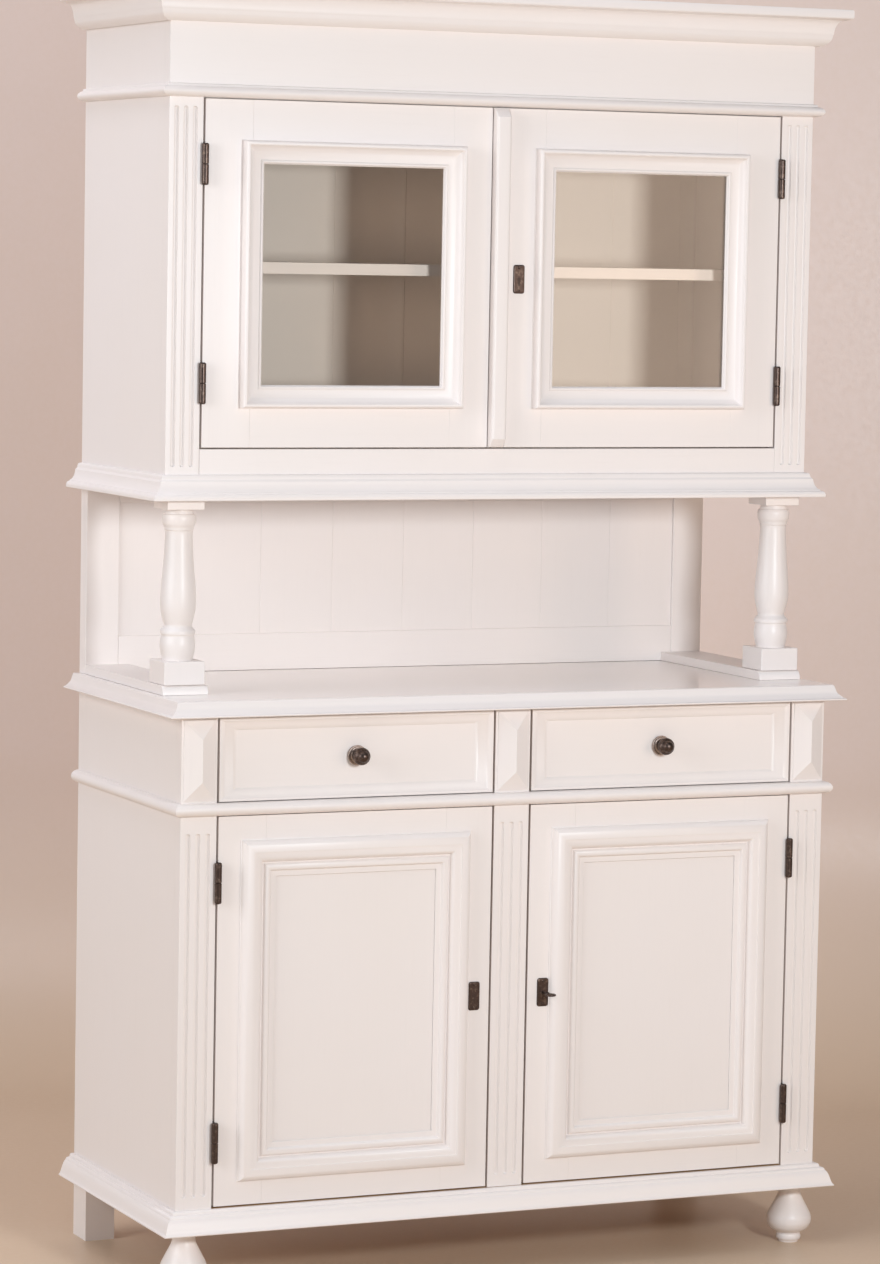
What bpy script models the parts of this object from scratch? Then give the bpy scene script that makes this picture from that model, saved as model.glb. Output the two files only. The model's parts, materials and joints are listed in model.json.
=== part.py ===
# Buffet cabinet: base cupboard with two drawers, open niche, glazed upper cupboard.
# Metres, +Z up, front towards -Y. While it is built, y = 0 is the front of the base unit;
# the whole cabinet then hangs on one empty that puts the origin under its middle.
import bpy
import bmesh
from itertools import product
from math import cos, pi, radians, sin
from mathutils import Matrix, Vector

# Overall
half_width = 0.565
base_depth = 0.475
upper_depth = 0.3865
reveal = 0.0025             # gap above and below doors and drawers
joint_gap = 0.0003          # between pieces that touch
cut_overrun = 0.002

# Heights, from the floor up
foot_height = 0.100
plinth_height = 0.036
lower_door_height = 0.6135
waist_rail_height = 0.0205
drawer_height = 0.129
counter_thickness = 0.026
niche_height = 0.305
upper_rail_height = 0.0795
upper_door_height = 0.5405
head_bead_height = 0.021
frieze_height = 0.125
crown_height = 0.050

# Boards
board = 0.018
back_board = 0.006
frame_board = 0.022
top_board = 0.018
ceiling_board = 0.012
lip_inset = 0.001
shelf_board = 0.018

# Face frames
outer_stile_width = 0.0601
centre_stile_width = 0.061
upper_stile_width = 0.0567
side_gap = 0.0034           # between door edge and stile, room for two hinge leaves
flute_width = 0.008
flute_pitch = 0.0164
upper_flute_pitch = 0.0153
flute_count = 3
flute_low_stop = 0.024      # bare wood below and above the flutes
flute_high_stop = 0.027
upper_flute_low_stop = 0.052
upper_flute_high_stop = 0.014
flute_segments = 12

# Hipped blocks beside the drawers
block_margin = 0.004
block_rise = 0.015
block_edge = 0.002
block_hip = 0.030

# Mouldings: how far each step stands out and how high it sits
base_moulding_reach = 0.027
base_moulding_shoulder = 0.015
base_moulding_drop = 0.009
base_moulding_round = 0.004
waist_moulding_reach = 0.013
upper_moulding_reach = 0.027
upper_moulding_height = 0.040
upper_moulding_foot = 0.005
upper_moulding_fillet = 0.004
upper_moulding_cove = 0.011
head_bead_reach = 0.015
crown_first_step = 0.003
crown_ovolo_reach = 0.0205
crown_ovolo_height = 0.009
crown_cove_reach = 0.0335
crown_cove_height = 0.0365
crown_tip_reach = 0.0468
crown_tip_height = 0.0120
moulding_segments = 6
moulding_sink = 0.001      # how deep a door moulding is bedded

# Counter
counter_reach = 0.0277
counter_foot_reach = 0.022
counter_tip_height = 0.011
counter_round = 0.015

# Feet
front_foot_inset = 0.026
front_foot_setback = 0.030
foot_neck = 0.038
foot_belly = 0.072
foot_bottom = 0.041
foot_belly_height = 0.038
foot_fillet_height = 0.008
foot_block = 0.060
rear_foot_width = 0.050
rear_foot_depth = 0.060
turning_segments = 28

# Niche
side_board_width = 0.076
side_board_height = 0.015
side_board_start = 0.085
side_board_nose = 0.010
post_block = 0.068
post_top_block = 0.062
post_setback = 0.034
post_inset = 0.0375
post_base_height = 0.037
post_head_height = 0.0155
post_neck = 0.043
post_belly = 0.0565
post_waist = 0.044
post_vase = 0.053
post_collar = 0.053
niche_stile_width = 0.057
niche_rail_height = 0.070
niche_top_rail_height = 0.050
niche_board_width = 0.129
niche_board_groove = 0.003
niche_frame_board = 0.018
niche_panel_board = 0.010

# Lower doors
door_board = 0.022
lower_stile_width = 0.080
lower_moulding_foot = 0.037
lower_moulding_width = 0.060
lower_moulding_rise = 0.0135
panel_board = 0.012
panel_setback = 0.002

# Upper doors
upper_door_stile = 0.080
upper_moulding_edge = 0.0615
upper_door_moulding_width = 0.0365
upper_door_moulding_rise = 0.019
glass_board = 0.003
bead_size = 0.010
meeting_strip_width = 0.028
meeting_strip_rise = 0.016
meeting_strip_chamfer = 0.005
meeting_strip_inset = 0.001
door_gap = 0.002

# Hinges
hinge_height = 0.065
barrel_radius = 0.0055
pin_radius = 0.003
bore_clearance = 0.0003
leaf_let_in = 0.001
leaf_recess = 0.0006        # leaf edges behind the faces of the door
hinge_inset_upper = 0.1005
hinge_inset_lower = 0.102
barrel_segments = 16

# Locks
escutcheon_width = 0.0195
escutcheon_height = 0.046
escutcheon_thickness = 0.002
escutcheon_shoulder = 0.004
keyhole_radius = 0.003
keyhole_slot_width = 0.003
keyhole_slot_length = 0.011
lock_height = 0.052
lock_depth = 0.014
lock_case_extra = 0.014     # case beyond the keyhole
lower_backset = 0.0268
upper_backset = 0.0494
lower_lock_level = 0.449
upper_lock_level = 0.3515   # above the counter-niche top
bolt_height = 0.011
bolt_thickness = 0.005
bolt_rise = 0.015           # bolt centre above the keyhole
bolt_travel_room = 0.004
lock_cheek = 0.0025
shank_radius = 0.00225
key_reach = 0.040
bow_radius = 0.0075
bow_wire = 0.0016
bit_length = 0.0055
bit_width = 0.004
bit_thickness = 0.002
bit_pocket_radius = 0.0085
screw_radius = 0.0013
screw_rise = 0.0185

# Drawers
drawer_front_board = 0.020
drawer_side_board = 0.012
drawer_length = 0.420
drawer_side_inset = 0.0095
drawer_side_drop = 0.016
drawer_bottom_board = 0.005
drawer_bottom_lift = 0.010
field_side = 0.034
field_end = 0.016
field_sink = 0.0055
field_rim = 0.005
knob_radius = 0.014
knob_plate_radius = 0.016
knob_plate_thickness = 0.0025
knob_centre = 0.020
knob_reach = 0.034
knob_neck = 0.005
knob_segments = 24
guide_width = 0.0115
guide_height = 0.010

# Shelves
shelf_setback = 0.062
housing_depth = 0.006
lower_shelf_level = 0.440
upper_shelf_level = 0.354   # underside, above the niche top
upper_shelf_setback = 0.048

# Levels
plinth_top = foot_height + plinth_height
lower_door_bottom = plinth_top + reveal
lower_door_top = lower_door_bottom + lower_door_height
waist_bottom = lower_door_top + reveal
waist_top = waist_bottom + waist_rail_height
drawer_bottom = waist_top + reveal
drawer_top = drawer_bottom + drawer_height
counter_bottom = drawer_top + reveal
counter_top = counter_bottom + counter_thickness
niche_top = counter_top + niche_height
upper_rail_top = niche_top + upper_rail_height
upper_door_bottom = upper_rail_top + reveal
upper_door_top = upper_door_bottom + upper_door_height
head_bottom = upper_door_top + reveal
frieze_top = head_bottom + frieze_height
total_height = frieze_top + crown_height

# Places across and back
upper_front = base_depth - upper_depth
side_face = half_width - board
stile_edge = half_width - outer_stile_width
lower_hinge_x = stile_edge - side_gap / 2
lower_door_outer = stile_edge - side_gap
lower_door_inner = centre_stile_width / 2 + side_gap
upper_stile_edge = half_width - upper_stile_width
upper_hinge_x = upper_stile_edge - side_gap / 2
upper_door_outer = upper_stile_edge - side_gap
strip_left = -meeting_strip_width / 2
drawer_centre = (lower_door_outer + lower_door_inner) / 2
drawer_middle = (drawer_bottom + drawer_top) / 2
barrel_setback = barrel_radius + joint_gap
cabinet_y = (key_reach - base_depth) / 2
post_axis_x = half_width - post_inset
post_axis_y = upper_front + post_setback
side_names = (("left", -1), ("right", 1))

paint = ((0.84, 0.78, 0.75), 0.42, 0.0)
side_paint = ((0.80, 0.72, 0.68), 0.48, 0.0)
bare_wood = ((0.55, 0.36, 0.20), 0.60, 0.0)
dark_metal = ((0.09, 0.065, 0.055), 0.42, 0.9)
clear_glass = ((0.80, 0.84, 0.82), 0.05, 0.0)

for old in list(bpy.data.objects):
    bpy.data.objects.remove(old, do_unlink=True)

scene = bpy.context.scene
parts = bpy.data.collections.new("buffet_cabinet")
cutters = bpy.data.collections.new("cutters")
scene.collection.children.link(parts)
scene.collection.children.link(cutters)

cabinet = bpy.data.objects.new("cabinet", None)
cabinet.location = (0, cabinet_y, 0)
parts.objects.link(cabinet)


def principled(name, finish):
    colour, roughness, metallic = finish
    made = bpy.data.materials.new(name)
    made.use_nodes = True
    shader = made.node_tree.nodes["Principled BSDF"]
    shader.inputs["Base Color"].default_value = (*colour, 1)
    shader.inputs["Roughness"].default_value = roughness
    shader.inputs["Metallic"].default_value = metallic
    if finish is clear_glass:
        shader.inputs["Transmission Weight"].default_value = 1
    return made


def evaluated_mesh(helper):
    # the finished mesh of a helper object, which is then removed
    bpy.context.view_layer.update()
    graph = bpy.context.evaluated_depsgraph_get()
    mesh = bpy.data.meshes.new_from_object(helper.evaluated_get(graph))
    bpy.data.objects.remove(helper, do_unlink=True)
    bm = bmesh.new()
    bm.from_mesh(mesh)
    bmesh.ops.remove_doubles(bm, verts=bm.verts, dist=joint_gap / 10)
    bmesh.ops.recalc_face_normals(bm, faces=bm.faces)
    bm.to_mesh(mesh)
    bm.free()
    return mesh


def box(low, high):
    # a box between two corners
    bm = bmesh.new()
    middle = [(a + b) / 2 for a, b in zip(low, high)]
    size = [b - a for a, b in zip(low, high)]
    place = Matrix.Translation(middle) @ Matrix.Diagonal((*size, 1))
    bmesh.ops.create_cube(bm, size=1, matrix=place)
    mesh = bpy.data.meshes.new("box")
    bm.to_mesh(mesh)
    bm.free()
    return mesh


def stacked(blocks):
    # one solid from boxes that touch or overlap: the skin round the cells that they fill
    planes = [sorted({round(corner[axis], 9) for block in blocks for corner in block}) for axis in range(3)]
    cells = set()
    for cell in product(*(range(len(levels) - 1) for levels in planes)):
        middle = [(levels[i] + levels[i + 1]) / 2 for levels, i in zip(planes, cell)]
        if any(all(a < m < b for a, m, b in zip(low, middle, high)) for low, high in blocks):
            cells.add(cell)
    bm = bmesh.new()
    corners = {}
    for cell, axis, end in product(sorted(cells), range(3), (0, 1)):
        beside = list(cell)
        beside[axis] += 2 * end - 1
        if tuple(beside) in cells:
            continue
        ring = []
        for across, up in ((0, 0), (1, 0), (1, 1), (0, 1)):
            index = list(cell)
            index[axis] += end
            index[(axis + 1) % 3] += across
            index[(axis + 2) % 3] += up
            ring.append(tuple(index))
        for index in ring:
            if index not in corners:
                corners[index] = bm.verts.new([levels[i] for levels, i in zip(planes, index)])
        bm.faces.new([corners[index] for index in ring])
    bmesh.ops.recalc_face_normals(bm, faces=bm.faces)
    mesh = bpy.data.meshes.new("stacked")
    bm.to_mesh(mesh)
    bm.free()
    return mesh


def turned(profile, segments):
    # a profile of (radius, height) pairs, top to bottom, turned about z
    mesh = bpy.data.meshes.new("profile")
    points = [(radius, 0, height) for radius, height in profile]
    edges = [(i, i + 1) for i in range(len(points) - 1)]
    mesh.from_pydata(points, edges, [])
    helper = bpy.data.objects.new("profile", mesh)
    cutters.objects.link(helper)
    screw = helper.modifiers.new("turn", "SCREW")
    screw.steps = segments
    screw.render_steps = segments
    screw.use_merge_vertices = True
    screw.merge_threshold = joint_gap / 10
    return evaluated_mesh(helper)


def outline(points, thickness, holes=()):
    # flat outlines in x and y, filled and given a thickness that is centred on z = 0
    curve = bpy.data.curves.new("outline", "CURVE")
    curve.dimensions = "2D"
    curve.fill_mode = "BOTH"
    curve.extrude = thickness / 2
    for ring in (points, *holes):
        spline = curve.splines.new("POLY")
        spline.points.add(len(ring) - 1)
        for point, (x, y) in zip(spline.points, ring):
            point.co = (x, y, 0, 1)
        spline.use_cyclic_u = True
    helper = bpy.data.objects.new("outline", curve)
    cutters.objects.link(helper)
    return evaluated_mesh(helper)


def wire(points, radius):
    # a closed ring of round wire
    curve = bpy.data.curves.new("wire", "CURVE")
    curve.dimensions = "3D"
    curve.bevel_depth = radius
    curve.bevel_resolution = 2
    spline = curve.splines.new("POLY")
    spline.points.add(len(points) - 1)
    for point, place in zip(spline.points, points):
        point.co = (*place, 1)
    spline.use_cyclic_u = True
    helper = bpy.data.objects.new("wire", curve)
    cutters.objects.link(helper)
    return evaluated_mesh(helper)


def placed(mesh, matrix):
    # a moved copy of a mesh
    copy = mesh.copy()
    copy.transform(matrix)
    if matrix.determinant() < 0:
        copy.flip_normals()
    return copy


def shifted(mesh, x, y, z):
    return placed(mesh, Matrix.Translation((x, y, z)))


def mirrored(mesh):
    # the same piece on the other side of the cabinet
    return placed(mesh, Matrix.Diagonal((-1, 1, 1, 1)))


def both_sides(mesh):
    return [mirrored(mesh), mesh]


def smooth(mesh):
    mesh.shade_smooth()
    mesh.set_sharp_from_angle(angle=radians(35))
    return mesh


def joined_mesh(name, pieces):
    bm = bmesh.new()
    for piece in pieces:
        bm.from_mesh(piece)
    mesh = bpy.data.meshes.new(name)
    bm.to_mesh(mesh)
    bm.free()
    return mesh


def part(name, pieces, finish, holder=None):
    # one named object from loose pieces, on the empty that it moves with
    mesh = joined_mesh(name, pieces)
    mesh.materials.append(principled(name, finish))
    owner = holder or cabinet
    made = bpy.data.objects.new(name, mesh)
    parts.objects.link(made)
    made.parent = owner
    pivot = Vector((0, 0, 0)) if holder is None else Vector(holder["pivot"])
    mesh.transform(Matrix.Translation(-pivot))
    return made


def pivot_empty(name, pivot, holder=None):
    # an empty on a joint's axis; what hangs on it moves with the joint
    made = bpy.data.objects.new(name, None)
    parts.objects.link(made)
    made.parent = holder or cabinet
    start = Vector((0, 0, 0)) if holder is None else Vector(holder["pivot"])
    made.location = Vector(pivot) - start
    made["pivot"] = tuple(pivot)
    return made


def cut(target, pieces, name):
    # takes the pieces away from the target with a live Boolean
    mesh = joined_mesh(name, pieces)
    tool = bpy.data.objects.new(name, mesh)
    tool.location = (0, cabinet_y, 0)
    tool.hide_render = True
    tool.display_type = "WIRE"
    cutters.objects.link(tool)
    modifier = target.modifiers.new(name, "BOOLEAN")
    modifier.operation = "DIFFERENCE"
    modifier.object = tool


def united(pieces):
    # overlapping pieces of one solid, joined by Booleans
    first = bpy.data.objects.new("first", pieces[0])
    cutters.objects.link(first)
    tools = []
    for piece in pieces[1:]:
        tool = bpy.data.objects.new("joined", piece)
        cutters.objects.link(tool)
        tools.append(tool)
        modifier = first.modifiers.new("join", "BOOLEAN")
        modifier.operation = "UNION"
        modifier.object = tool
    mesh = evaluated_mesh(first)
    for tool in tools:
        bpy.data.objects.remove(tool, do_unlink=True)
    return mesh


def arc(centre_x, centre_y, radius_x, radius_y, start, end, steps):
    # points on an ellipse arc, angles in degrees
    angles = [radians(start + (end - start) * i / steps) for i in range(steps + 1)]
    return [(centre_x + radius_x * cos(a), centre_y + radius_y * sin(a)) for a in angles]


def lofted(stations, closed):
    # skins rings of points that each hold one section of a moulding
    bm = bmesh.new()
    rings = [[bm.verts.new(point) for point in station] for station in stations]
    count = len(rings[0])
    pairs = list(zip(rings, rings[1:]))
    if closed:
        pairs.append((rings[-1], rings[0]))
    else:
        bm.faces.new(rings[0])
        bm.faces.new(rings[-1])
    for first, second in pairs:
        for i in range(count):
            j = (i + 1) % count
            bm.faces.new((first[i], first[j], second[j], second[i]))
    bmesh.ops.recalc_face_normals(bm, faces=bm.faces)
    mesh = bpy.data.meshes.new("moulding")
    bm.to_mesh(mesh)
    bm.free()
    return mesh


def edge_run(profile, half_length, depth, front):
    # a moulding round the front and both sides, mitred at the corners; profile x runs outwards
    back = front + depth
    corners = (
        (-half_length, back, -1, 0),
        (-half_length, front, -1, -1),
        (half_length, front, 1, -1),
        (half_length, back, 1, 0),
    )
    stations = [[(x + dx * p, y + dy * p, h) for p, h in profile] for x, y, dx, dy in corners]
    return lofted(stations, False)


def door_moulding(profile, x_low, x_high, z_low, z_high, face):
    # a mitred moulding round a door's field; profile x runs inwards from the outer edge
    corners = (
        (x_low, z_low, 1, 1),
        (x_high, z_low, -1, 1),
        (x_high, z_high, -1, -1),
        (x_low, z_high, 1, -1),
    )
    stations = [[(x + dx * p, face - h, z + dz * p) for p, h in profile] for x, z, dx, dz in corners]
    return lofted(stations, True)


def rectangle(x_low, x_high, y_low, y_high):
    return [(x_low, y_low), (x_high, y_low), (x_high, y_high), (x_low, y_high)]


def frame_of_four(x_low, x_high, z_low, z_high, left, right, rail, y_low, y_high):
    # stiles and rails as one rectangle with its opening, standing upright
    middle_x = (x_low + x_high) / 2
    middle_z = (z_low + z_high) / 2
    outer = rectangle(x_low - middle_x, x_high - middle_x, z_low - middle_z, z_high - middle_z)
    inner = rectangle(
        x_low + left - middle_x,
        x_high - right - middle_x,
        z_low + rail - middle_z,
        z_high - rail - middle_z,
    )
    mesh = outline(outer, y_high - y_low, (inner,))
    place = Matrix.Translation((middle_x, (y_low + y_high) / 2, middle_z))
    return placed(mesh, place @ Matrix.Rotation(pi / 2, 4, "X"))


def flutes(centre, front, low, high, pitch):
    # half-round grooves with rounded ends, as cutting rods
    radius = flute_width / 2
    reach = (high - low) / 2 - radius
    cap = 3
    top = [(x, y + reach) for x, y in arc(0, 0, radius, radius, 90, 0, cap)]
    low_end = [(x, y - reach) for x, y in arc(0, 0, radius, radius, 0, -90, cap)]
    rod = turned(top + low_end, flute_segments)
    first = centre - pitch * (flute_count - 1) / 2
    middle = (low + high) / 2
    return [shifted(rod, first + pitch * i, front, middle) for i in range(flute_count)]


# Base unit: carcass

def base_sides():
    right = box((side_face, frame_board + joint_gap, foot_height), (half_width, base_depth, counter_bottom))
    housing = box(
        (side_face - cut_overrun, shelf_setback - joint_gap, lower_shelf_level - joint_gap),
        (side_face + housing_depth, base_depth - back_board, lower_shelf_level + shelf_board + joint_gap),
    )
    for name, side in side_names:
        piece = right if side > 0 else mirrored(right)
        made = part(name + "_base_side", [piece], side_paint)
        cut(made, [housing if side > 0 else mirrored(housing)], name + "_base_housing")


def base_stiles():
    low = plinth_top + flute_low_stop
    high = waist_bottom - flute_high_stop
    top = counter_bottom - joint_gap
    height = drawer_top - drawer_bottom
    outer = box((stile_edge, 0, foot_height), (half_width, frame_board, top))
    outer_block = hipped_block(outer_stile_width - 2 * block_margin, height)
    outer_x = half_width - outer_stile_width / 2
    outer = united([outer, shifted(outer_block, outer_x, 0, drawer_middle)])
    flute_x = outer_x + side_gap / 4
    for name, side in side_names:
        piece = outer if side > 0 else mirrored(outer)
        made = part("base_" + name + "_stile", [piece], paint)
        cut(made, flutes(side * flute_x, 0, low, high, flute_pitch), "base_" + name + "_flutes")
    half = centre_stile_width / 2
    centre = box((-half, 0, plinth_top + joint_gap), (half, frame_board, top))
    centre_block = hipped_block(centre_stile_width - 2 * block_margin, height)
    centre = united([centre, shifted(centre_block, 0, 0, drawer_middle)])
    made = part("base_centre_stile", [centre], paint)
    cut(made, flutes(0, 0, low, high, flute_pitch), "base_centre_flutes")


def hipped_block(width, height):
    # a raised block: a small upright edge, then four slopes that meet in a ridge
    bm = bmesh.new()
    depth = block_edge + cut_overrun
    middle = (cut_overrun - block_edge) / 2
    place = Matrix.Translation((0, middle, 0)) @ Matrix.Diagonal((width, depth, height, 1))
    bmesh.ops.create_cube(bm, size=1, matrix=place)
    face = min(bm.faces, key=lambda f: f.calc_center_median().y)
    bmesh.ops.inset_individual(bm, faces=[face], thickness=width / 4, depth=0)
    for vertex in face.verts:
        level = height / 2 - block_hip
        vertex.co = (0, -block_rise, level if vertex.co.z > 0 else -level)
    bmesh.ops.remove_doubles(bm, verts=bm.verts, dist=joint_gap / 10)
    bmesh.ops.recalc_face_normals(bm, faces=bm.faces)
    mesh = bpy.data.meshes.new("hipped_block")
    bm.to_mesh(mesh)
    bm.free()
    return mesh


def base_boards():
    inner = side_face - joint_gap
    behind = frame_board + joint_gap
    back_front = base_depth - back_board
    boards_back = back_front - joint_gap
    bottom = box((-inner, behind, plinth_top - board), (inner, boards_back, plinth_top))
    reach = stile_edge - joint_gap
    rail = box((-reach, 0, foot_height), (reach, frame_board, plinth_top))
    over = cut_overrun
    tongue = box(
        (-reach, frame_board - over, plinth_top - board + joint_gap),
        (reach, behind + over, plinth_top - joint_gap),
    )
    part("base_bottom", [united([bottom, tongue, rail])], bare_wood)
    back = box((-inner, back_front, foot_height), (inner, base_depth, counter_bottom - joint_gap))
    part("base_back", [back], bare_wood)
    housed = side_face + housing_depth - joint_gap
    shelf = box(
        (-housed, shelf_setback, lower_shelf_level),
        (housed, boards_back, lower_shelf_level + shelf_board),
    )
    part("base_shelf", [shelf], bare_wood)


def dust_board():
    # the board that the drawers run on, with guide strips beside the drawers
    inner = side_face - joint_gap
    front = frame_board + joint_gap
    back = base_depth - back_board - joint_gap
    slab = box((-inner, front, waist_top - board), (inner, back, waist_top))
    outer_edge = lower_door_outer - drawer_side_inset + joint_gap
    inner_edge = lower_door_inner + drawer_side_inset - joint_gap
    low = waist_top - cut_overrun
    high = waist_top + guide_height
    outer_guide = box((outer_edge, front, low), (outer_edge + guide_width, back, high))
    centre_guide = box((-inner_edge, front, low), (inner_edge, back, high))
    pieces = [slab, centre_guide] + both_sides(outer_guide)
    part("dust_board", [united(pieces)], bare_wood)


def base_moulding():
    round_top = arc(
        base_moulding_shoulder - base_moulding_round,
        plinth_top - base_moulding_drop,
        base_moulding_round,
        base_moulding_round,
        80,
        0,
        3,
    )
    profile = [(joint_gap, foot_height), (joint_gap, plinth_top)] + round_top
    profile += [
        (base_moulding_reach - base_moulding_round, foot_height + plinth_height / 3),
        (base_moulding_reach, foot_height),
    ]
    part("base_moulding", [edge_run(profile, half_width, base_depth, 0)], paint)


def half_round(low, high, reach):
    middle = (low + high) / 2
    bulge = arc(0, middle, reach, (high - low) / 2, 84, -84, 2 * moulding_segments)
    return [(joint_gap, low), (joint_gap, high)] + bulge


def waist_moulding():
    # the half-round moulding with the two rails that it stands on
    profile = half_round(waist_bottom, waist_top, waist_moulding_reach)
    near = centre_stile_width / 2 + joint_gap
    reach = stile_edge - joint_gap
    rail = box((near, 0, waist_bottom), (reach, frame_board, waist_top))
    lip = box((near, -cut_overrun, waist_bottom + lip_inset), (reach, cut_overrun, waist_top - lip_inset))
    run = edge_run(profile, half_width, base_depth, 0)
    pieces = [run] + both_sides(lip) + both_sides(rail)
    part("waist_moulding", [united(pieces)], paint)


def counter():
    # levels of the edge profile, each a rectangle that is flush at the back
    rim = [(counter_foot_reach, counter_bottom + joint_gap)]
    rim.append((counter_foot_reach, counter_bottom + counter_tip_height / 2))
    rim.append((counter_reach, counter_bottom + counter_tip_height))
    round_low = counter_bottom + counter_tip_height
    rim += arc(
        counter_reach - counter_round,
        round_low,
        counter_round,
        counter_top - round_low,
        0,
        90,
        moulding_segments,
    )[1:]
    bm = bmesh.new()
    rings = []
    for reach, level in rim:
        x = half_width + reach
        corners = ((-x, -reach), (x, -reach), (x, base_depth), (-x, base_depth))
        rings.append([bm.verts.new((cx, cy, level)) for cx, cy in corners])
    bm.faces.new(rings[0][::-1])
    bm.faces.new(rings[-1])
    for low, high in zip(rings, rings[1:]):
        for i in range(len(low)):
            j = (i + 1) % len(low)
            bm.faces.new((low[i], low[j], high[j], high[i]))
    mesh = bpy.data.meshes.new("counter")
    bm.to_mesh(mesh)
    bm.free()
    part("counter_top", [mesh], paint)


# Feet

def feet():
    neck = foot_neck / 2
    belly = foot_belly / 2
    bottom = foot_bottom / 2
    top = foot_height - joint_gap
    fillet_top = foot_fillet_height * 2
    profile = [(0, top), (neck, top)]
    for share in (0.15, 0.3, 0.45, 0.6, 0.75, 0.9, 1.0):
        swell = (1 - cos(share * pi)) / 2
        profile.append((neck + (belly - neck) * swell, top - (top - foot_belly_height) * share))
    for share in (0.3, 0.6, 0.85, 1.0):
        fall = cos(share * pi / 2)
        level = foot_belly_height - (foot_belly_height - fillet_top) * share
        profile.append((bottom + (belly - bottom) * fall, level))
    profile += [(bottom, foot_fillet_height), (bottom - foot_fillet_height / 4, 0), (0, 0)]
    foot_x = half_width - front_foot_inset
    turned_foot = shifted(turned(profile, turning_segments), foot_x, front_foot_setback, 0)
    head_x = side_face - joint_gap
    head_y = frame_board + joint_gap
    head_top = plinth_top - board - joint_gap
    sunk = foot_height - foot_fillet_height / 2
    head = box((head_x - foot_block, head_y, sunk), (head_x, head_y + foot_block, head_top))
    front = united([turned_foot, head])
    rear_x = half_width - rear_foot_width
    rear_y = base_depth - rear_foot_depth
    rear_back = base_depth - back_board - joint_gap
    leg = box((rear_x, rear_y, 0), (half_width, base_depth, foot_height - joint_gap))
    rear_head = box((rear_x, rear_y, sunk), (head_x, rear_back, head_top))
    rear = united([leg, rear_head])
    for name, side in side_names:
        part("front_" + name + "_foot", [front if side > 0 else mirrored(front)], paint)
        part("rear_" + name + "_foot", [rear if side > 0 else mirrored(rear)], paint)


# Niche

def niche_side_boards():
    # the board under each post, its front end moulded
    outer = half_width
    inner = half_width - side_board_width
    low = counter_top + joint_gap
    high = counter_top + side_board_height
    nose = arc(
        side_board_start + side_board_nose,
        low,
        side_board_nose,
        high - low,
        180,
        90,
        moulding_segments,
    )
    back = base_depth - niche_frame_board - niche_panel_board - joint_gap
    profile = [(back, low)] + nose + [(back, high)]
    mesh = outline(profile, outer - inner)
    axes = Matrix(((0, 0, 1, (outer + inner) / 2), (1, 0, 0, 0), (0, 1, 0, 0), (0, 0, 0, 1)))
    mesh = placed(mesh, axes)
    for name, side in side_names:
        part(name + "_niche_board", [mesh if side > 0 else mirrored(mesh)], paint)


def niche_posts():
    base_low = counter_top + side_board_height + joint_gap
    base_high = base_low + post_base_height
    head_low = niche_top - post_head_height
    shaft = head_low - base_high
    vase = post_vase / 2
    waist = post_waist / 2
    belly = post_belly / 2
    neck = post_neck / 2
    collar = post_collar / 2
    shape_shares = (
        (collar * 0.80, 1.000),
        (collar * 0.84, 0.980),
        (collar * 0.96, 0.968),
        (collar, 0.935),
        (collar * 0.98, 0.895),
        (neck * 1.06, 0.872),
        (neck, 0.860),
        (neck, 0.820),
        (neck * 1.04, 0.720),
        (neck * 1.12, 0.600),
        (belly * 0.95, 0.500),
        (belly, 0.420),
        (belly * 0.985, 0.340),
        (waist * 1.10, 0.260),
        (waist, 0.230),
        (waist * 1.08, 0.212),
        (belly * 0.98, 0.200),
        (belly * 0.98, 0.178),
        (vase * 0.98, 0.160),
        (vase * 1.06, 0.120),
        (vase * 1.05, 0.075),
        (vase * 0.95, 0.030),
        (vase * 0.90, 0.000),
    )
    over = cut_overrun
    profile = [(0, head_low + over), (collar * 0.80, head_low + over)]
    profile += [(radius, base_high + shaft * share) for radius, share in shape_shares]
    profile += [(vase * 0.90, base_high - over), (0, base_high - over)]
    shaft_mesh = shifted(turned(profile, turning_segments), post_axis_x, post_axis_y, 0)
    half = post_block / 2
    base = box(
        (post_axis_x - half, post_axis_y - half, base_low),
        (post_axis_x + half, post_axis_y + half, base_high),
    )
    half = post_top_block / 2
    head = box(
        (post_axis_x - half, post_axis_y - half, head_low),
        (post_axis_x + half, post_axis_y + half, niche_top - joint_gap),
    )
    post = united([base, shaft_mesh, head])
    for name, side in side_names:
        part(name + "_niche_post", [post if side > 0 else mirrored(post)], paint)


def niche_back():
    # one boarded back for niche and upper unit, with the niche's frame in front of it
    panel_front = base_depth - niche_panel_board
    frame_front = panel_front - niche_frame_board
    low = counter_top + joint_gap
    high = niche_top - joint_gap
    inner = half_width - niche_stile_width
    upper_reach = side_face - joint_gap
    rod_low = low + niche_rail_height
    rod_high = high - niche_top_rail_height
    back = stacked([
        ((-half_width, panel_front, low), (half_width, base_depth, high)),
        ((-upper_reach, panel_front, high), (upper_reach, base_depth, frieze_top)),
        ((-half_width, frame_front, low), (half_width, panel_front, rod_low)),
        ((-half_width, frame_front, rod_high), (half_width, panel_front, high)),
        ((inner, frame_front, low), (half_width, panel_front, high)),
        ((-half_width, frame_front, low), (-inner, panel_front, high)),
    ])
    boards = part("upper_back", [back], paint)
    groove = niche_board_groove / 2
    count = int(inner / niche_board_width)
    grooves = []
    for i in range(-count, count + 1):
        middle = (i * niche_board_width, panel_front - groove / 3, (rod_low + rod_high) / 2)
        place = Matrix.Translation(middle)
        turn = Matrix.Rotation(pi / 4, 4, "Z")
        half = (rod_high - rod_low) / 2 - niche_board_groove
        rod = box((-groove, -groove, -half), (groove, groove, half))
        grooves.append(placed(rod, place @ turn))
    cut(boards, grooves, "board_joints")


# Upper unit

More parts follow.
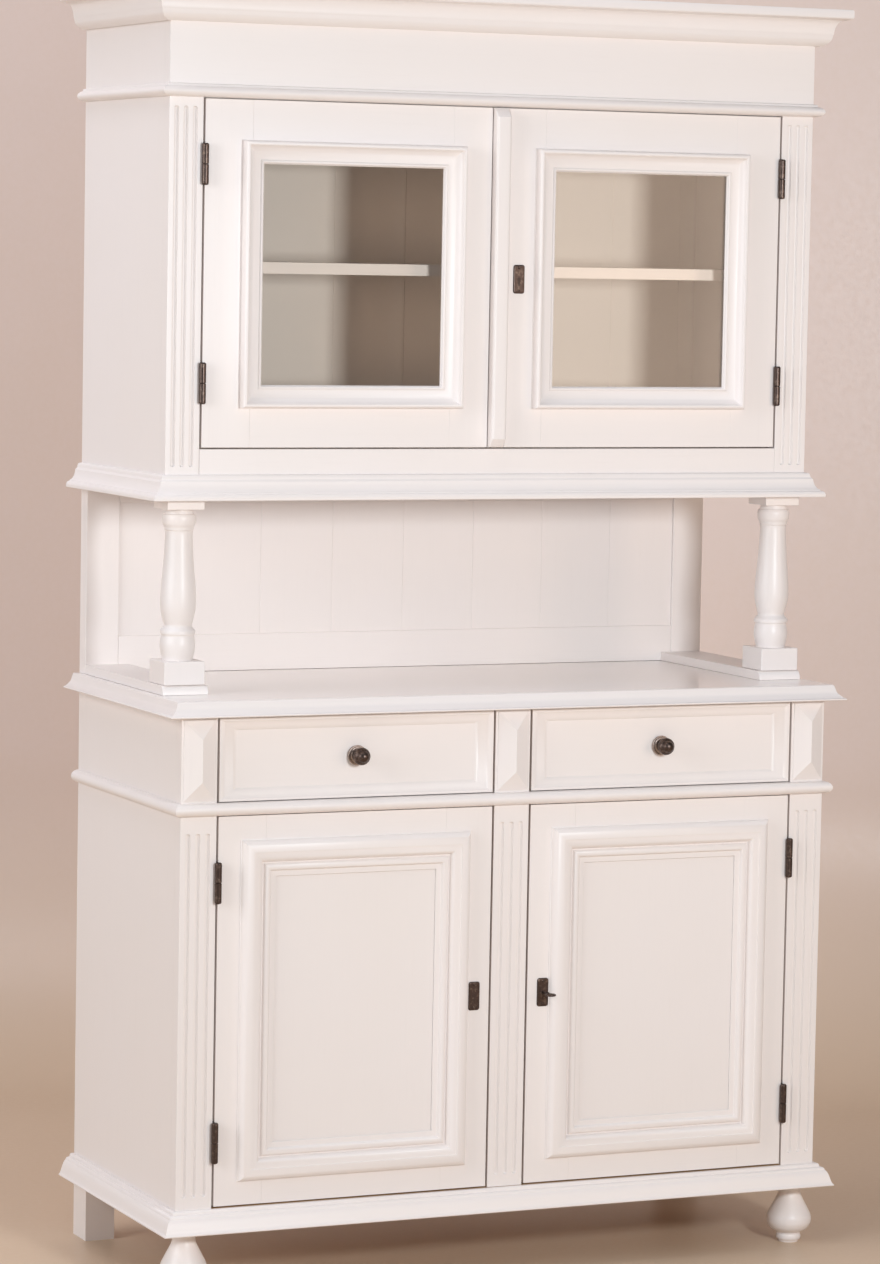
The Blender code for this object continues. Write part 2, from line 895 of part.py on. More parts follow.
def upper_carcass():
    behind = upper_front + frame_board + joint_gap
    inner = side_face - joint_gap
    boards_back = base_depth - niche_panel_board - joint_gap
    over = cut_overrun
    level = niche_top + upper_shelf_level
    shelf_front = upper_front + upper_shelf_setback
    right = box((side_face, behind, niche_top), (half_width, base_depth, frieze_top))
    housing = box(
        (side_face - over, shelf_front - joint_gap, level - joint_gap),
        (side_face + housing_depth, boards_back + joint_gap, level + shelf_board + joint_gap),
    )
    for name, side in side_names:
        made = part(name + "_upper_side", [right if side > 0 else mirrored(right)], side_paint)
        cut(made, [housing if side > 0 else mirrored(housing)], name + "_upper_housing")
    floor = box((-inner, behind, upper_rail_top - board), (inner, boards_back, upper_rail_top))
    ceiling = box((-inner, behind, niche_top), (inner, boards_back, niche_top + ceiling_board))
    reach = upper_stile_edge - joint_gap
    rail = box((-reach, upper_front, niche_top), (reach, behind + over, upper_rail_top))
    part("upper_bottom", [united([rail, floor, ceiling])], paint)
    housed = side_face + housing_depth - joint_gap
    shelf = box((-housed, shelf_front, level), (housed, boards_back, level + shelf_board))
    part("upper_shelf", [shelf], paint)


def upper_stiles():
    low = niche_top + upper_flute_low_stop
    high = head_bottom - upper_flute_high_stop
    behind = upper_front + frame_board
    stile = box((upper_stile_edge, upper_front, niche_top), (half_width, behind, frieze_top))
    centre = half_width - upper_stile_width / 2 + side_gap / 4
    for name, side in side_names:
        made = part(name + "_upper_stile", [stile if side > 0 else mirrored(stile)], paint)
        grooves = flutes(side * centre, upper_front, low, high, upper_flute_pitch)
        cut(made, grooves, name + "_upper_flutes")


def frieze():
    # frieze board, the bead over the doors and the top board behind it
    behind = upper_front + frame_board + joint_gap
    inner = side_face - joint_gap
    boards_back = base_depth - niche_panel_board - joint_gap
    reach = upper_stile_edge - joint_gap
    over = cut_overrun
    front_board = box((-reach, upper_front, head_bottom), (reach, behind + over, frieze_top))
    top = box((-inner, behind, head_bottom), (inner, boards_back, head_bottom + top_board))
    bead_top = head_bottom + head_bead_height
    lip = box(
        (-reach, upper_front - over, head_bottom + lip_inset),
        (reach, upper_front + over, bead_top - lip_inset),
    )
    bead = edge_run(half_round(head_bottom, bead_top, head_bead_reach), half_width, upper_depth, upper_front)
    part("frieze", [united([front_board, top, lip, bead])], paint)


def upper_moulding():
    low = niche_top
    top = niche_top + upper_moulding_height
    reach = upper_moulding_reach
    cove = upper_moulding_cove
    fillet = upper_moulding_fillet
    foot = upper_moulding_foot
    profile = [(joint_gap, low), (reach, low), (reach, low + foot)]
    profile += arc(reach - fillet * 2, low + foot, fillet * 1.5, foot, 0, 80, 3)
    hollow_low = low + foot * 2.4
    hollow_high = top - fillet * 2
    hollow_out = reach - fillet * 1.5
    profile += arc(
        hollow_out,
        hollow_high,
        hollow_out - cove,
        hollow_high - hollow_low,
        262,
        190,
        5,
    )
    profile += [(cove - fillet, hollow_high), (cove - fillet * 1.5, top - fillet), (joint_gap, top)]
    part("upper_base_moulding", [edge_run(profile, half_width, upper_depth, upper_front)], paint)


def crown():
    low = frieze_top - crown_ovolo_height
    top = total_height
    cove_low = frieze_top + joint_gap
    cove_top = top - crown_tip_height
    inner_reach = crown_ovolo_reach
    profile = [(joint_gap, low)]
    profile += arc(
        crown_first_step,
        cove_low,
        inner_reach - crown_first_step,
        crown_ovolo_height,
        -90,
        0,
        4,
    )
    profile += arc(
        crown_cove_reach,
        cove_low,
        crown_cove_reach - inner_reach,
        crown_cove_height - crown_ovolo_height / 2,
        175,
        98,
        moulding_segments,
    )
    profile += [
        (crown_cove_reach, cove_top),
        (crown_tip_reach, cove_top),
        (crown_tip_reach, top),
        (joint_gap, top),
    ]
    run = edge_run(profile, half_width, upper_depth, upper_front)
    cap_low = frieze_top + joint_gap
    over = cut_overrun
    cap = box(
        (-half_width - over, upper_front - over, cap_low),
        (half_width + over, base_depth, cap_low + top_board),
    )
    part("crown", [united([run, cap])], paint)


# Hinges: the fixed half has the pin, the door half turns on it

def hinge_leaf(side, far, low, high, neck_low, neck_high):
    # a flat leaf in the gap with a neck that reaches the barrel; side is -1 or 1
    near = joint_gap * 0.7
    low_x, high_x = sorted((side * near, side * far))
    neck_front = (pin_radius + bore_clearance + barrel_radius) / 2
    leaf_front = barrel_setback + leaf_recess
    leaf_back = barrel_setback + door_board - leaf_recess
    leaf = box((low_x, leaf_front, low), (high_x, leaf_back, high))
    neck = box((low_x, neck_front, neck_low), (high_x, leaf_front + cut_overrun, neck_high))
    return [leaf, neck]


def fixed_half(side):
    half = hinge_height / 2
    top = -joint_gap / 2
    pin_top = half - barrel_radius / 2
    profile = [
        (0, pin_top),
        (pin_radius, pin_top),
        (pin_radius, top),
        (barrel_radius, top),
        (barrel_radius, -half),
        (0, -half),
    ]
    barrel = turned(profile, barrel_segments)
    neck_low = -half + cut_overrun
    neck_high = top - cut_overrun
    far = side_gap / 2 - joint_gap
    return united([barrel] + hinge_leaf(side, far, -half, half, neck_low, neck_high))


def door_half(side):
    half = hinge_height / 2
    low = joint_gap / 2
    bore = pin_radius + bore_clearance
    profile = [(bore, half), (barrel_radius, half), (barrel_radius, low), (bore, low), (bore, half)]
    barrel = turned(profile, barrel_segments)
    neck_low = low + cut_overrun
    neck_high = half - cut_overrun
    far = side_gap / 2 + leaf_let_in
    return united([barrel] + hinge_leaf(side, far, -half, half, neck_low, neck_high))


def hinge_places(door_low, door_high, inset):
    return (door_low + inset, door_high - inset)


def fixed_hinges():
    lower_levels = hinge_places(lower_door_bottom, lower_door_top, hinge_inset_lower)
    upper_levels = hinge_places(upper_door_bottom, upper_door_top, hinge_inset_upper)
    rows = (
        ("lower", lower_hinge_x, 0, lower_levels),
        ("upper", upper_hinge_x, upper_front, upper_levels),
    )
    right_half = fixed_half(1)
    for row, x, front, levels in rows:
        for end, level in zip(("bottom", "top"), levels):
            piece = shifted(right_half, x, front - barrel_setback, level)
            for name, side in side_names:
                mesh = piece if side > 0 else mirrored(piece)
                part(row + "_" + name + "_" + end + "_hinge", [mesh], dark_metal)


def door_hinges(side, x, front, levels):
    made = door_half(-side)
    return [shifted(made, side * x, front - barrel_setback, level) for level in levels]


# Locks

def escutcheon_outline():
    # a plate with stepped ends and small round corners
    half_w = escutcheon_width / 2
    half_h = escutcheon_height / 2
    corner = escutcheon_shoulder
    points = []
    quarters = (((1, 1), 0), ((-1, 1), 90), ((-1, -1), 180), ((1, -1), 270))
    for (sx, sy), start in quarters:
        points += arc(
            sx * (half_w - corner),
            sy * (half_h - corner),
            corner,
            corner,
            start,
            start + 90,
            4,
        )
    return points


def keyhole_outline(room):
    # a round hole with a slot below it, wider all round by the given room
    half = keyhole_slot_width / 2 + room
    radius = keyhole_radius + room
    ring = arc(0, 0, radius, radius, -50, 230, 10)
    drop = keyhole_slot_length + room
    return ring + [(-half, -drop), (half, -drop)]


def lock(name, x, level, front, edge_x, holder):
    # escutcheon on the face, lock case on the back of the stile, two screws through both
    plate = outline(escutcheon_outline(), escutcheon_thickness, (keyhole_outline(0),))
    stand = Matrix.Rotation(pi / 2, 4, "X")
    plate_y = front - joint_gap - escutcheon_thickness / 2
    plate = placed(plate, Matrix.Translation((x, plate_y, level)) @ stand)
    inward = 1 if x > edge_x else -1
    case_near = edge_x + inward * joint_gap * 2
    case_far = x + inward * lock_case_extra
    low_x, high_x = sorted((case_near, case_far))
    back = front + door_board + joint_gap
    half = lock_height / 2
    case = box((low_x, back, level - half), (high_x, back + lock_depth, level + half))
    screw_length = back - plate_y + cut_overrun
    screw = turned(
        [(0, screw_length), (screw_radius, screw_length), (screw_radius, 0), (0, 0)],
        barrel_segments // 2,
    )
    lying = placed(screw, Matrix.Rotation(-pi / 2, 4, "X"))
    screws = [shifted(lying, x, plate_y, level + rise) for rise in (-screw_rise, screw_rise)]
    made = part(name, [united([case, plate] + screws)], dark_metal, holder)
    bolt_y = back + lock_cheek
    room = bolt_height / 2 + joint_gap
    channel_far = case_far - inward * lock_cheek
    channel_near = case_near - inward * cut_overrun
    low_x, high_x = sorted((channel_near, channel_far))
    centre = level + bolt_rise
    channel = box(
        (low_x, bolt_y - joint_gap, centre - room),
        (high_x, bolt_y + bolt_thickness + joint_gap, centre + room),
    )
    deep = bit_pocket_depth()
    over = cut_overrun
    pocket = turned(
        [(0, deep), (bit_pocket_radius, deep), (bit_pocket_radius, -over), (0, -over)],
        turning_segments,
    )
    pocket = placed(pocket, Matrix.Translation((x, back, level)) @ Matrix.Rotation(-pi / 2, 4, "X"))
    cut(made, [channel, pocket], name + "_room")


def bit_pocket_depth():
    return bit_width + joint_gap * 4


def lock_bolt(name, x, level, front, edge_x, holder):
    inward = 1 if x > edge_x else -1
    case_near = edge_x + inward * joint_gap * 2
    channel_far = x + inward * (lock_case_extra - lock_cheek)
    far = channel_far - inward * bolt_travel_room
    low_x, high_x = sorted((case_near, far))
    y = front + door_board + joint_gap + lock_cheek
    centre = level + bolt_rise
    bolt = box(
        (low_x, y, centre - bolt_height / 2),
        (high_x, y + bolt_thickness, centre + bolt_height / 2),
    )
    part(name, [bolt], dark_metal, holder)


def key(name, x, level, holder):
    # shank and bit lie along y, the bow ring lies level
    inner_end = door_board + joint_gap + bit_pocket_depth() - joint_gap
    shank_front = key_reach - 2 * (bow_radius + bow_wire) + bow_wire
    shank = turned(
        [
            (0, inner_end),
            (shank_radius, inner_end),
            (shank_radius, -shank_front),
            (0, -shank_front),
        ],
        barrel_segments,
    )
    shank = placed(shank, Matrix.Rotation(-pi / 2, 4, "X"))
    ring_centre = key_reach - bow_radius - bow_wire
    steps = barrel_segments + barrel_segments // 4
    angles = [2 * pi * i / steps for i in range(steps)]
    ring = wire([(bow_radius * cos(a), bow_radius * sin(a) - ring_centre, 0) for a in angles], bow_wire)
    bit_back = inner_end - joint_gap
    bit = box(
        (-bit_thickness / 2, bit_back - bit_width, -shank_radius - bit_length),
        (bit_thickness / 2, bit_back, 0),
    )
    mesh = united([shank, ring, bit])
    part(name, [shifted(mesh, x, 0, level)], dark_metal, holder)


def key_hole_in_stile(target, x, level, front, name):
    # the keyhole and the two screw holes right through a door stile
    through = door_board + 2 * cut_overrun
    slot = outline(keyhole_outline(joint_gap), through)
    stand = Matrix.Rotation(pi / 2, 4, "X")
    slot = placed(slot, Matrix.Translation((x, front + door_board / 2, level)) @ stand)
    bore = screw_radius + joint_gap
    drill = turned(
        [(0, through / 2), (bore, through / 2), (bore, -through / 2), (0, -through / 2)],
        barrel_segments // 2,
    )
    lying = placed(drill, stand)
    holes = [shifted(lying, x, front + door_board / 2, level + rise) for rise in (-screw_rise, screw_rise)]
    cut(target, [slot] + holes, name)


# Doors

def lower_moulding_profile():
    # outer slope to a ridge, ovolo down, then a bead and a quirk at the panel
    width = lower_moulding_width
    rise = lower_moulding_rise
    slope = arc(width * 0.31, 0, width * 0.31, rise, 170, 90, 5)
    fall = arc(width * 0.36, rise * 0.35, width * 0.24, rise * 0.60, 85, 15, 4)
    bead = arc(width * 0.76, rise * 0.16, width * 0.11, rise * 0.30, 160, 10, 4)
    base = -moulding_sink
    flat = rise * 0.16
    return [(0, base)] + slope + fall + bead + [(width * 0.90, flat), (width, flat), (width, base)]


def upper_moulding_profile():
    # steep outer ovolo, ridge, deep cove and a small bead at the glass
    width = upper_door_moulding_width
    rise = upper_door_moulding_rise
    outer = arc(width * 0.13, rise * 0.55, width * 0.13, rise * 0.45, 180, 60, 4)
    cove = arc(width * 0.95, rise * 1.02, width * 0.72, rise * 0.72, 190, 262, 6)
    bead = arc(width * 0.90, rise * 0.20, width * 0.09, rise * 0.18, 105, 0, 3)
    return [(0, -moulding_sink)] + outer + cove + bead + [(width, -moulding_sink)]


def lower_door(side_name, side):
    pivot = (side * lower_hinge_x, -barrel_setback, 0)
    prefix = "lower_" + side_name
    holder = pivot_empty(prefix + "_door_axis", pivot)
    x_low, x_high = sorted((side * lower_door_inner, side * lower_door_outer))
    low = lower_door_bottom
    high = lower_door_top
    stile = lower_stile_width
    foot = lower_moulding_foot
    moulding = door_moulding(
        lower_moulding_profile(),
        x_low + foot,
        x_high - foot,
        low + foot,
        high - foot,
        0,
    )
    levels = hinge_places(low, high, hinge_inset_lower)
    pieces = [frame_of_four(x_low, x_high, low, high, stile, stile, stile, 0, door_board), moulding]
    pieces += door_hinges(side, lower_hinge_x, 0, levels)
    frame = part(prefix + "_door_frame", [united(pieces)], paint, holder)
    edge = stile + joint_gap
    panel = box(
        (x_low + edge, panel_setback, low + edge),
        (x_high - edge, panel_setback + panel_board, high - edge),
    )
    part(prefix + "_door_panel", [panel], paint, holder)
    key_x = side * (lower_door_inner + lower_backset)
    edge_x = side * lower_door_inner
    key_hole_in_stile(frame, key_x, lower_lock_level, 0, prefix + "_key_hole")
    lock(prefix + "_lock", key_x, lower_lock_level, 0, edge_x, holder)
    lock_bolt(prefix + "_lock_bolt", key_x, lower_lock_level, 0, edge_x, holder)
    if side > 0:
        key_axis = pivot_empty("key_axis", (key_x, 0, lower_lock_level), holder)
        key("key", key_x, lower_lock_level, key_axis)


def upper_door(side_name, side):
    front = upper_front
    pivot = (side * upper_hinge_x, front - barrel_setback, 0)
    prefix = "upper_" + side_name
    holder = pivot_empty(prefix + "_door_axis", pivot)
    wide = upper_door_stile - strip_left
    narrow = upper_door_stile + strip_left
    if side > 0:
        x_low, x_high = strip_left, upper_door_outer
        left, right = wide, upper_door_stile
    else:
        x_low, x_high = -upper_door_outer, strip_left - door_gap
        left, right = upper_door_stile, narrow
    low = upper_door_bottom
    high = upper_door_top
    rail = upper_door_stile
    opening = (x_low + left, x_high - right, low + rail, high - rail)
    frame_board_mesh = frame_of_four(x_low, x_high, low, high, left, right, rail, front, front + door_board)
    glass_front = front + moulding_sink + joint_gap
    glass_back = glass_front + glass_board
    bead_front = glass_back + joint_gap
    over = cut_overrun
    around = (opening[0] - over, opening[1] + over, opening[2] - over, opening[3] + over)
    bead = bead_size + over
    beads = frame_of_four(*around, bead, bead, bead, bead_front, bead_front + bead_size)
    inset = upper_door_stile - upper_moulding_edge
    moulding = door_moulding(
        upper_moulding_profile(),
        opening[0] - inset,
        opening[1] + inset,
        opening[2] - inset,
        opening[3] + inset,
        front,
    )
    levels = hinge_places(low, high, hinge_inset_upper)
    pieces = [frame_board_mesh, beads, moulding] + door_hinges(side, upper_hinge_x, front, levels)
    frame = part(prefix + "_door_frame", [united(pieces)], paint, holder)
    gap = joint_gap
    glass = box(
        (opening[0] + gap, glass_front, opening[2] + gap),
        (opening[1] - gap, glass_back, opening[3] - gap),
    )
    part(prefix + "_glass", [glass], clear_glass, holder)
    if side > 0:
        meeting_strip(x_low, low, high, front, holder)
        key_x = x_low + upper_backset
        level = niche_top + upper_lock_level
        key_hole_in_stile(frame, key_x, level, front, "upper_key_hole")
        lock("upper_right_lock", key_x, level, front, x_low, holder)
        lock_bolt("upper_right_lock_bolt", key_x, level, front, x_low, holder)


def meeting_strip(x_low, low, high, front, holder):
    width = meeting_strip_width
    rise = meeting_strip_rise
    chamfer = meeting_strip_chamfer
    crest = arc(width / 2, rise - chamfer, width / 2 - chamfer / 2, chamfer, 155, 25, moulding_segments)
    profile = [(0, joint_gap), (width, joint_gap), (width, rise - 2 * chamfer)] + crest[::-1]
    profile += [(0, rise - 2 * chamfer)]
    length = high - low - 2 * meeting_strip_inset
    mesh = outline(profile, length)
    axes = Matrix(((1, 0, 0, x_low), (0, -1, 0, front), (0, 0, 1, (low + high) / 2), (0, 0, 0, 1)))
    part("meeting_strip", [placed(mesh, axes)], paint, holder)


# Drawers

def drawer_front_mesh(x_low, x_high):
    # a board with a thin rim and a sunk field
    bm = bmesh.new()
    size = (x_high - x_low, drawer_front_board, drawer_height)
    middle = ((x_low + x_high) / 2, drawer_front_board / 2, drawer_middle)
    bmesh.ops.create_cube(bm, size=1, matrix=Matrix.Translation(middle) @ Matrix.Diagonal((*size, 1)))
    bm.faces.ensure_lookup_table()
    face = min(bm.faces, key=lambda f: f.calc_center_median().y)
    steps = (
        (field_rim, field_rim, 0),
        (field_rim + (field_side - field_rim) * 0.35, field_rim + (field_end - field_rim) * 0.35, 0.65),
        (field_rim + (field_side - field_rim) * 0.75, field_rim + (field_end - field_rim) * 0.75, 0.92),
        (field_side, field_end, 1),
    )
    for side_step, end_step, depth_share in steps:
        bmesh.ops.inset_individual(bm, faces=[face], thickness=field_rim / 5, depth=0)
        for vertex in face.verts:
            sx = 1 if vertex.co.x > middle[0] else -1
            sz = 1 if vertex.co.z > middle[2] else -1
            vertex.co.x = middle[0] + sx * (size[0] / 2 - side_step)
            vertex.co.z = middle[2] + sz * (size[2] / 2 - end_step)
            vertex.co.y = field_sink * depth_share
    mesh = bpy.data.meshes.new("drawer_front")
    bm.to_mesh(mesh)
    bm.free()
    return mesh


def knob_mesh():
    # backplate, neck and mushroom head; the profile starts at the front of the head
    head = knob_radius
    back = knob_reach - (knob_reach - knob_centre) * 2 + knob_plate_thickness
    dome = arc(0, knob_centre, head, knob_reach - knob_centre, 90, 0, 6)
    under = arc(0, knob_centre, head, knob_centre - back, 0, -60, 4)
    profile = dome + under[1:]
    profile += [
        (knob_neck * 1.2, back - knob_plate_thickness / 4),
        (knob_neck, knob_plate_thickness * 1.6),
        (knob_neck * 1.4, knob_plate_thickness),
        (knob_plate_radius - knob_plate_thickness, knob_plate_thickness),
        (knob_plate_radius, knob_plate_thickness / 2),
        (knob_plate_radius, 0),
        (0, 0),
    ]
    return turned(profile, knob_segments)


def drawer(side_name, side):
    x_low, x_high = sorted((side * lower_door_inner, side * lower_door_outer))
    prefix = side_name + "_drawer"
    centre = side * drawer_centre
    holder = pivot_empty(prefix + "_slide", (centre, 0, drawer_middle))
    part(prefix + "_front", [drawer_front_mesh(x_low, x_high)], paint, holder)
    out_low = x_low + drawer_side_inset
    out_high = x_high - drawer_side_inset
    front = drawer_front_board + joint_gap
    low = waist_top + joint_gap
    high = drawer_top - drawer_side_drop
    in_low = out_low + drawer_side_board
    in_high = out_high - drawer_side_board
    over = cut_overrun
    back = drawer_length - drawer_side_board
    floor = low + drawer_bottom_lift
    floor_high = floor + drawer_bottom_board
    pieces = [
        box((out_low, front, low), (in_low, drawer_length, high)),
        box((in_high, front, low), (out_high, drawer_length, high)),
        box((in_low - over, back, floor), (in_high + over, drawer_length, high)),
        box((in_low - over, front, floor), (in_high + over, back + over, floor_high)),
    ]
    part(prefix + "_box", [united(pieces)], bare_wood, holder)
    place = Matrix.Translation((centre, field_sink - joint_gap, drawer_middle))
    place = place @ Matrix.Rotation(pi / 2, 4, "X")
    part(prefix + "_knob", [placed(knob_mesh(), place)], dark_metal, holder)


base_sides()
base_stiles()
base_boards()
dust_board()
base_moulding()
waist_moulding()
counter()
feet()
niche_side_boards()
niche_posts()
niche_back()
upper_carcass()
upper_stiles()
frieze()
upper_moulding()
crown()
fixed_hinges()
for side_name, side in side_names:
    upper_door(side_name, side)
    lower_door(side_name, side)
    drawer(side_name, side)

for made in parts.objects:
    if made.type == "MESH":
        smooth(made.data)
bpy.context.view_layer.update()
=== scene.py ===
# Painted buffet cabinet: the detailed pieces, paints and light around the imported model.
import bpy
import bmesh
import numpy as np
from math import cos, pi, radians, sin
from mathutils import Matrix, Vector
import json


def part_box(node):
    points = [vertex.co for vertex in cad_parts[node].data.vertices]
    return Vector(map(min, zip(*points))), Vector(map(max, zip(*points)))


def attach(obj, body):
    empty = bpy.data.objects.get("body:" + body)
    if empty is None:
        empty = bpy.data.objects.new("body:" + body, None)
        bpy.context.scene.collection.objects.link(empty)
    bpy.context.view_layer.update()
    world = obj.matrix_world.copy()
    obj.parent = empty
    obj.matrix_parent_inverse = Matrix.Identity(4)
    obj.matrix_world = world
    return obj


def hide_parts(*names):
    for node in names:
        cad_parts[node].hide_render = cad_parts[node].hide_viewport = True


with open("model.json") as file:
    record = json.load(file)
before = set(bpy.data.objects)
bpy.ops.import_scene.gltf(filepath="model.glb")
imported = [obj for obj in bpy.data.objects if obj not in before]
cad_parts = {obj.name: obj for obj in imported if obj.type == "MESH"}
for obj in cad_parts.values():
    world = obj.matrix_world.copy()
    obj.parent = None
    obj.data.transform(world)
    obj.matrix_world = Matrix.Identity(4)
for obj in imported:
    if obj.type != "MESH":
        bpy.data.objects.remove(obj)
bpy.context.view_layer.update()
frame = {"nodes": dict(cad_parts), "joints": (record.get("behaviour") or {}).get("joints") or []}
mm = 0.001
seat = 0.3 * mm  # left between pieces that are glued or housed on the real cabinet
faceDepth = 22 * mm  # stiles, rails and door frames
sideDepth = 18 * mm  # side boards, floor and top board


# Shader values

class Wire:
    # one output socket; Python operators on it add Math nodes
    def __init__(self, tree, socket):
        self.tree = tree
        self.socket = socket

    def node(self, kind, settings=None, links=None, out=0):
        # any node: its settings first (a ramp's stops too), then values or links for its sockets
        made = self.tree.nodes.new(kind)
        for name, value in (settings or {}).items():
            if name == "stops":
                ramp = made.color_ramp
                while len(ramp.elements) < len(value):
                    ramp.elements.new(0.5)
                for element, (place, tint) in zip(ramp.elements, value):
                    element.position = place
                    element.color = (*tint, 1)
            else:
                setattr(made, name, value)
        for name, value in (links or {}).items():
            if isinstance(value, Wire):
                self.tree.links.new(value.socket, made.inputs[name])
            else:
                made.inputs[name].default_value = value
        return Wire(self.tree, made.outputs[out])

    def maths(self, operation, left, right=0.0):
        return self.node("ShaderNodeMath", {"operation": operation}, {0: left, 1: right})

    def __add__(self, other):
        return self.maths("ADD", self, other)

    __radd__ = __add__

    def __mul__(self, other):
        return self.maths("MULTIPLY", self, other)

    __rmul__ = __mul__

    def __sub__(self, other):
        return self.maths("SUBTRACT", self, other)

    def __rsub__(self, other):
        return self.maths("SUBTRACT", other, self)

    def __pow__(self, other):
        return self.maths("POWER", self, other)

    def clamped(self):
        return self.maths("MAXIMUM", self.maths("MINIMUM", self, 1.0), 0.0)

    def blend(self, first, second):
        # colour: first where this value is 0, second where it is 1
        settings = {"data_type": "RGBA"}
        links = {0: self, 6: first, 7: second}
        return self.node("ShaderNodeMix", settings, links, 2)


def startFinish(name):
    made = bpy.data.materials.new(name)
    made.use_nodes = True
    tree = made.node_tree
    shader = tree.nodes["Principled BSDF"]
    coords = tree.nodes.new("ShaderNodeTexCoord")
    return made, shader, Wire(tree, coords.outputs["Object"])


def noise(place, stretch, detail, roughness):
    # noise on object coordinates, stretched by a scale for each axis, about 0 to 1
    mapped = place.node("ShaderNodeMapping", None, {"Vector": place, "Scale": stretch})
    links = {"Vector": mapped, "Scale": 1.0, "Detail": detail, "Roughness": roughness}
    return place.node("ShaderNodeTexNoise", {"noise_dimensions": "3D"}, links)


def feed(shader, name, value):
    value.tree.links.new(value.socket, shader.inputs[name])


def bump(shader, height, distance, strength):
    links = {"Height": height, "Distance": distance, "Strength": strength}
    feed(shader, "Normal", height.node("ShaderNodeBump", None, links))


def colour(red, green, blue):
    # screen colour 0-255 to linear light
    channels = [c / 255 for c in (red, green, blue)]
    linear = [c / 12.92 if c <= 0.04045 else ((c + 0.055) / 1.055) ** 2.4 for c in channels]
    return (*linear, 1.0)


# Paint: brushed satin over pine, strokes along one axis

paintLook = {
    "tone": (243, 236, 233),
    "warm": (240, 231, 223),
    "dust": (219, 207, 201),
    # a lighter, warmer copy of the tone for the cupboard's inside: painted warm light
    "inside": (248, 239, 231),
    "sheen": 0.36,
    "strokeDepth": 0.00006,
}


def paintFinish(name, axis, tone=None, coat=0.0):
    made, shader, place = startFinish(name)
    fine = [330.0] * 3
    fine[axis] = 9.0
    grainStretch = [62.0] * 3
    grainStretch[axis] = 2.4
    strokes = noise(place, fine, 4.0, 0.6)
    grain = noise(place, grainStretch, 2.0, 0.5)
    clouds = noise(place, (3.1, 3.1, 3.1), 3.0, 0.5)
    specks = noise(place, (900.0, 900.0, 900.0), 1.0, 0.4)
    base = colour(*(tone or paintLook["tone"]))
    warm = (clouds * 1.5 - 0.45).clamped() * 0.5
    body = warm.blend(base, colour(*paintLook["warm"]))
    thin = ((strokes - 0.56) * 2.2).clamped() * 0.16
    body = thin.blend(body, colour(*paintLook["dust"]))
    feed(shader, "Base Color", body)
    feed(shader, "Roughness", strokes * 0.16 + clouds * 0.1 + (paintLook["sheen"] - 0.13))
    shader.inputs["Specular IOR Level"].default_value = 0.42
    shader.inputs["Coat Weight"].default_value = coat
    shader.inputs["Coat Roughness"].default_value = 0.16
    height = strokes * 0.6 + grain * 0.9 + specks * 0.12
    bump(shader, height, paintLook["strokeDepth"] * 4, 0.5)
    return made


# Bare pine: growth rings stretched along one axis

woodLook = {
    "early": (214, 178, 132),
    "late": (171, 122, 74),
    "shade": (150, 112, 76),
    "fibreDepth": 0.0002,
}


def woodFinish(name, axis):
    made, shader, place = startFinish(name)
    stretch = [9.0] * 3
    stretch[axis] = 0.55
    sway = noise(place, stretch, 2.0, 0.45)
    rings = place.maths("SINE", sway * 46.0) * 0.5 + 0.5
    fibreStretch = [420.0] * 3
    fibreStretch[axis] = 6.0
    fibres = noise(place, fibreStretch, 3.0, 0.6)
    patches = noise(place, (4.0, 4.0, 4.0), 2.0, 0.5)
    body = (rings ** 2.2 * 0.42).blend(colour(*woodLook["early"]), colour(*woodLook["late"]))
    body = ((fibres - 0.5) * 1.6).clamped().blend(body, colour(*woodLook["shade"]))
    body = ((patches - 0.45) * 1.2).clamped().blend(body, colour(*woodLook["shade"]))
    feed(shader, "Base Color", body)
    feed(shader, "Roughness", fibres * 0.2 + 0.5)
    bump(shader, fibres * 0.5 + rings * 0.25, woodLook["fibreDepth"], 0.4)
    return made


# Dark aged brass for knobs, locks, hinges and key

brassLook = {
    "dark": (84, 70, 64),
    "worn": (150, 131, 117),
    "spots": (52, 42, 38),
    # a paler brass for the knobs' plates: painted highlight, standing in for the light the plates catch
    "plate": (176, 158, 148),
    "pitDepth": 0.00015,
}


def brassFinish(name, shine=0.34, tone=None):
    made, shader, place = startFinish(name)
    wear = noise(place, (160.0, 160.0, 160.0), 4.0, 0.6)
    spots = noise(place, (520.0, 520.0, 520.0), 2.0, 0.5)
    base = colour(*(tone or brassLook["dark"]))
    body = ((wear - 0.52) * 3.0).clamped().blend(base, colour(*brassLook["worn"]))
    body = ((spots - 0.6) * 5.0).clamped().blend(body, colour(*brassLook["spots"]))
    feed(shader, "Base Color", body)
    feed(shader, "Roughness", wear * 0.28 + (shine - 0.1))
    feed(shader, "Metallic", 0.92 - (spots - 0.5).clamped() * 0.8)
    bump(shader, wear + spots * 0.4, brassLook["pitDepth"], 0.4)
    return made


# Pane glass: clear, with a faint skin of dust

glassLook = {
    "tint": (255, 253, 250),
    "reflect": (255, 255, 255),
    "waveDepth": 0.0006,
}


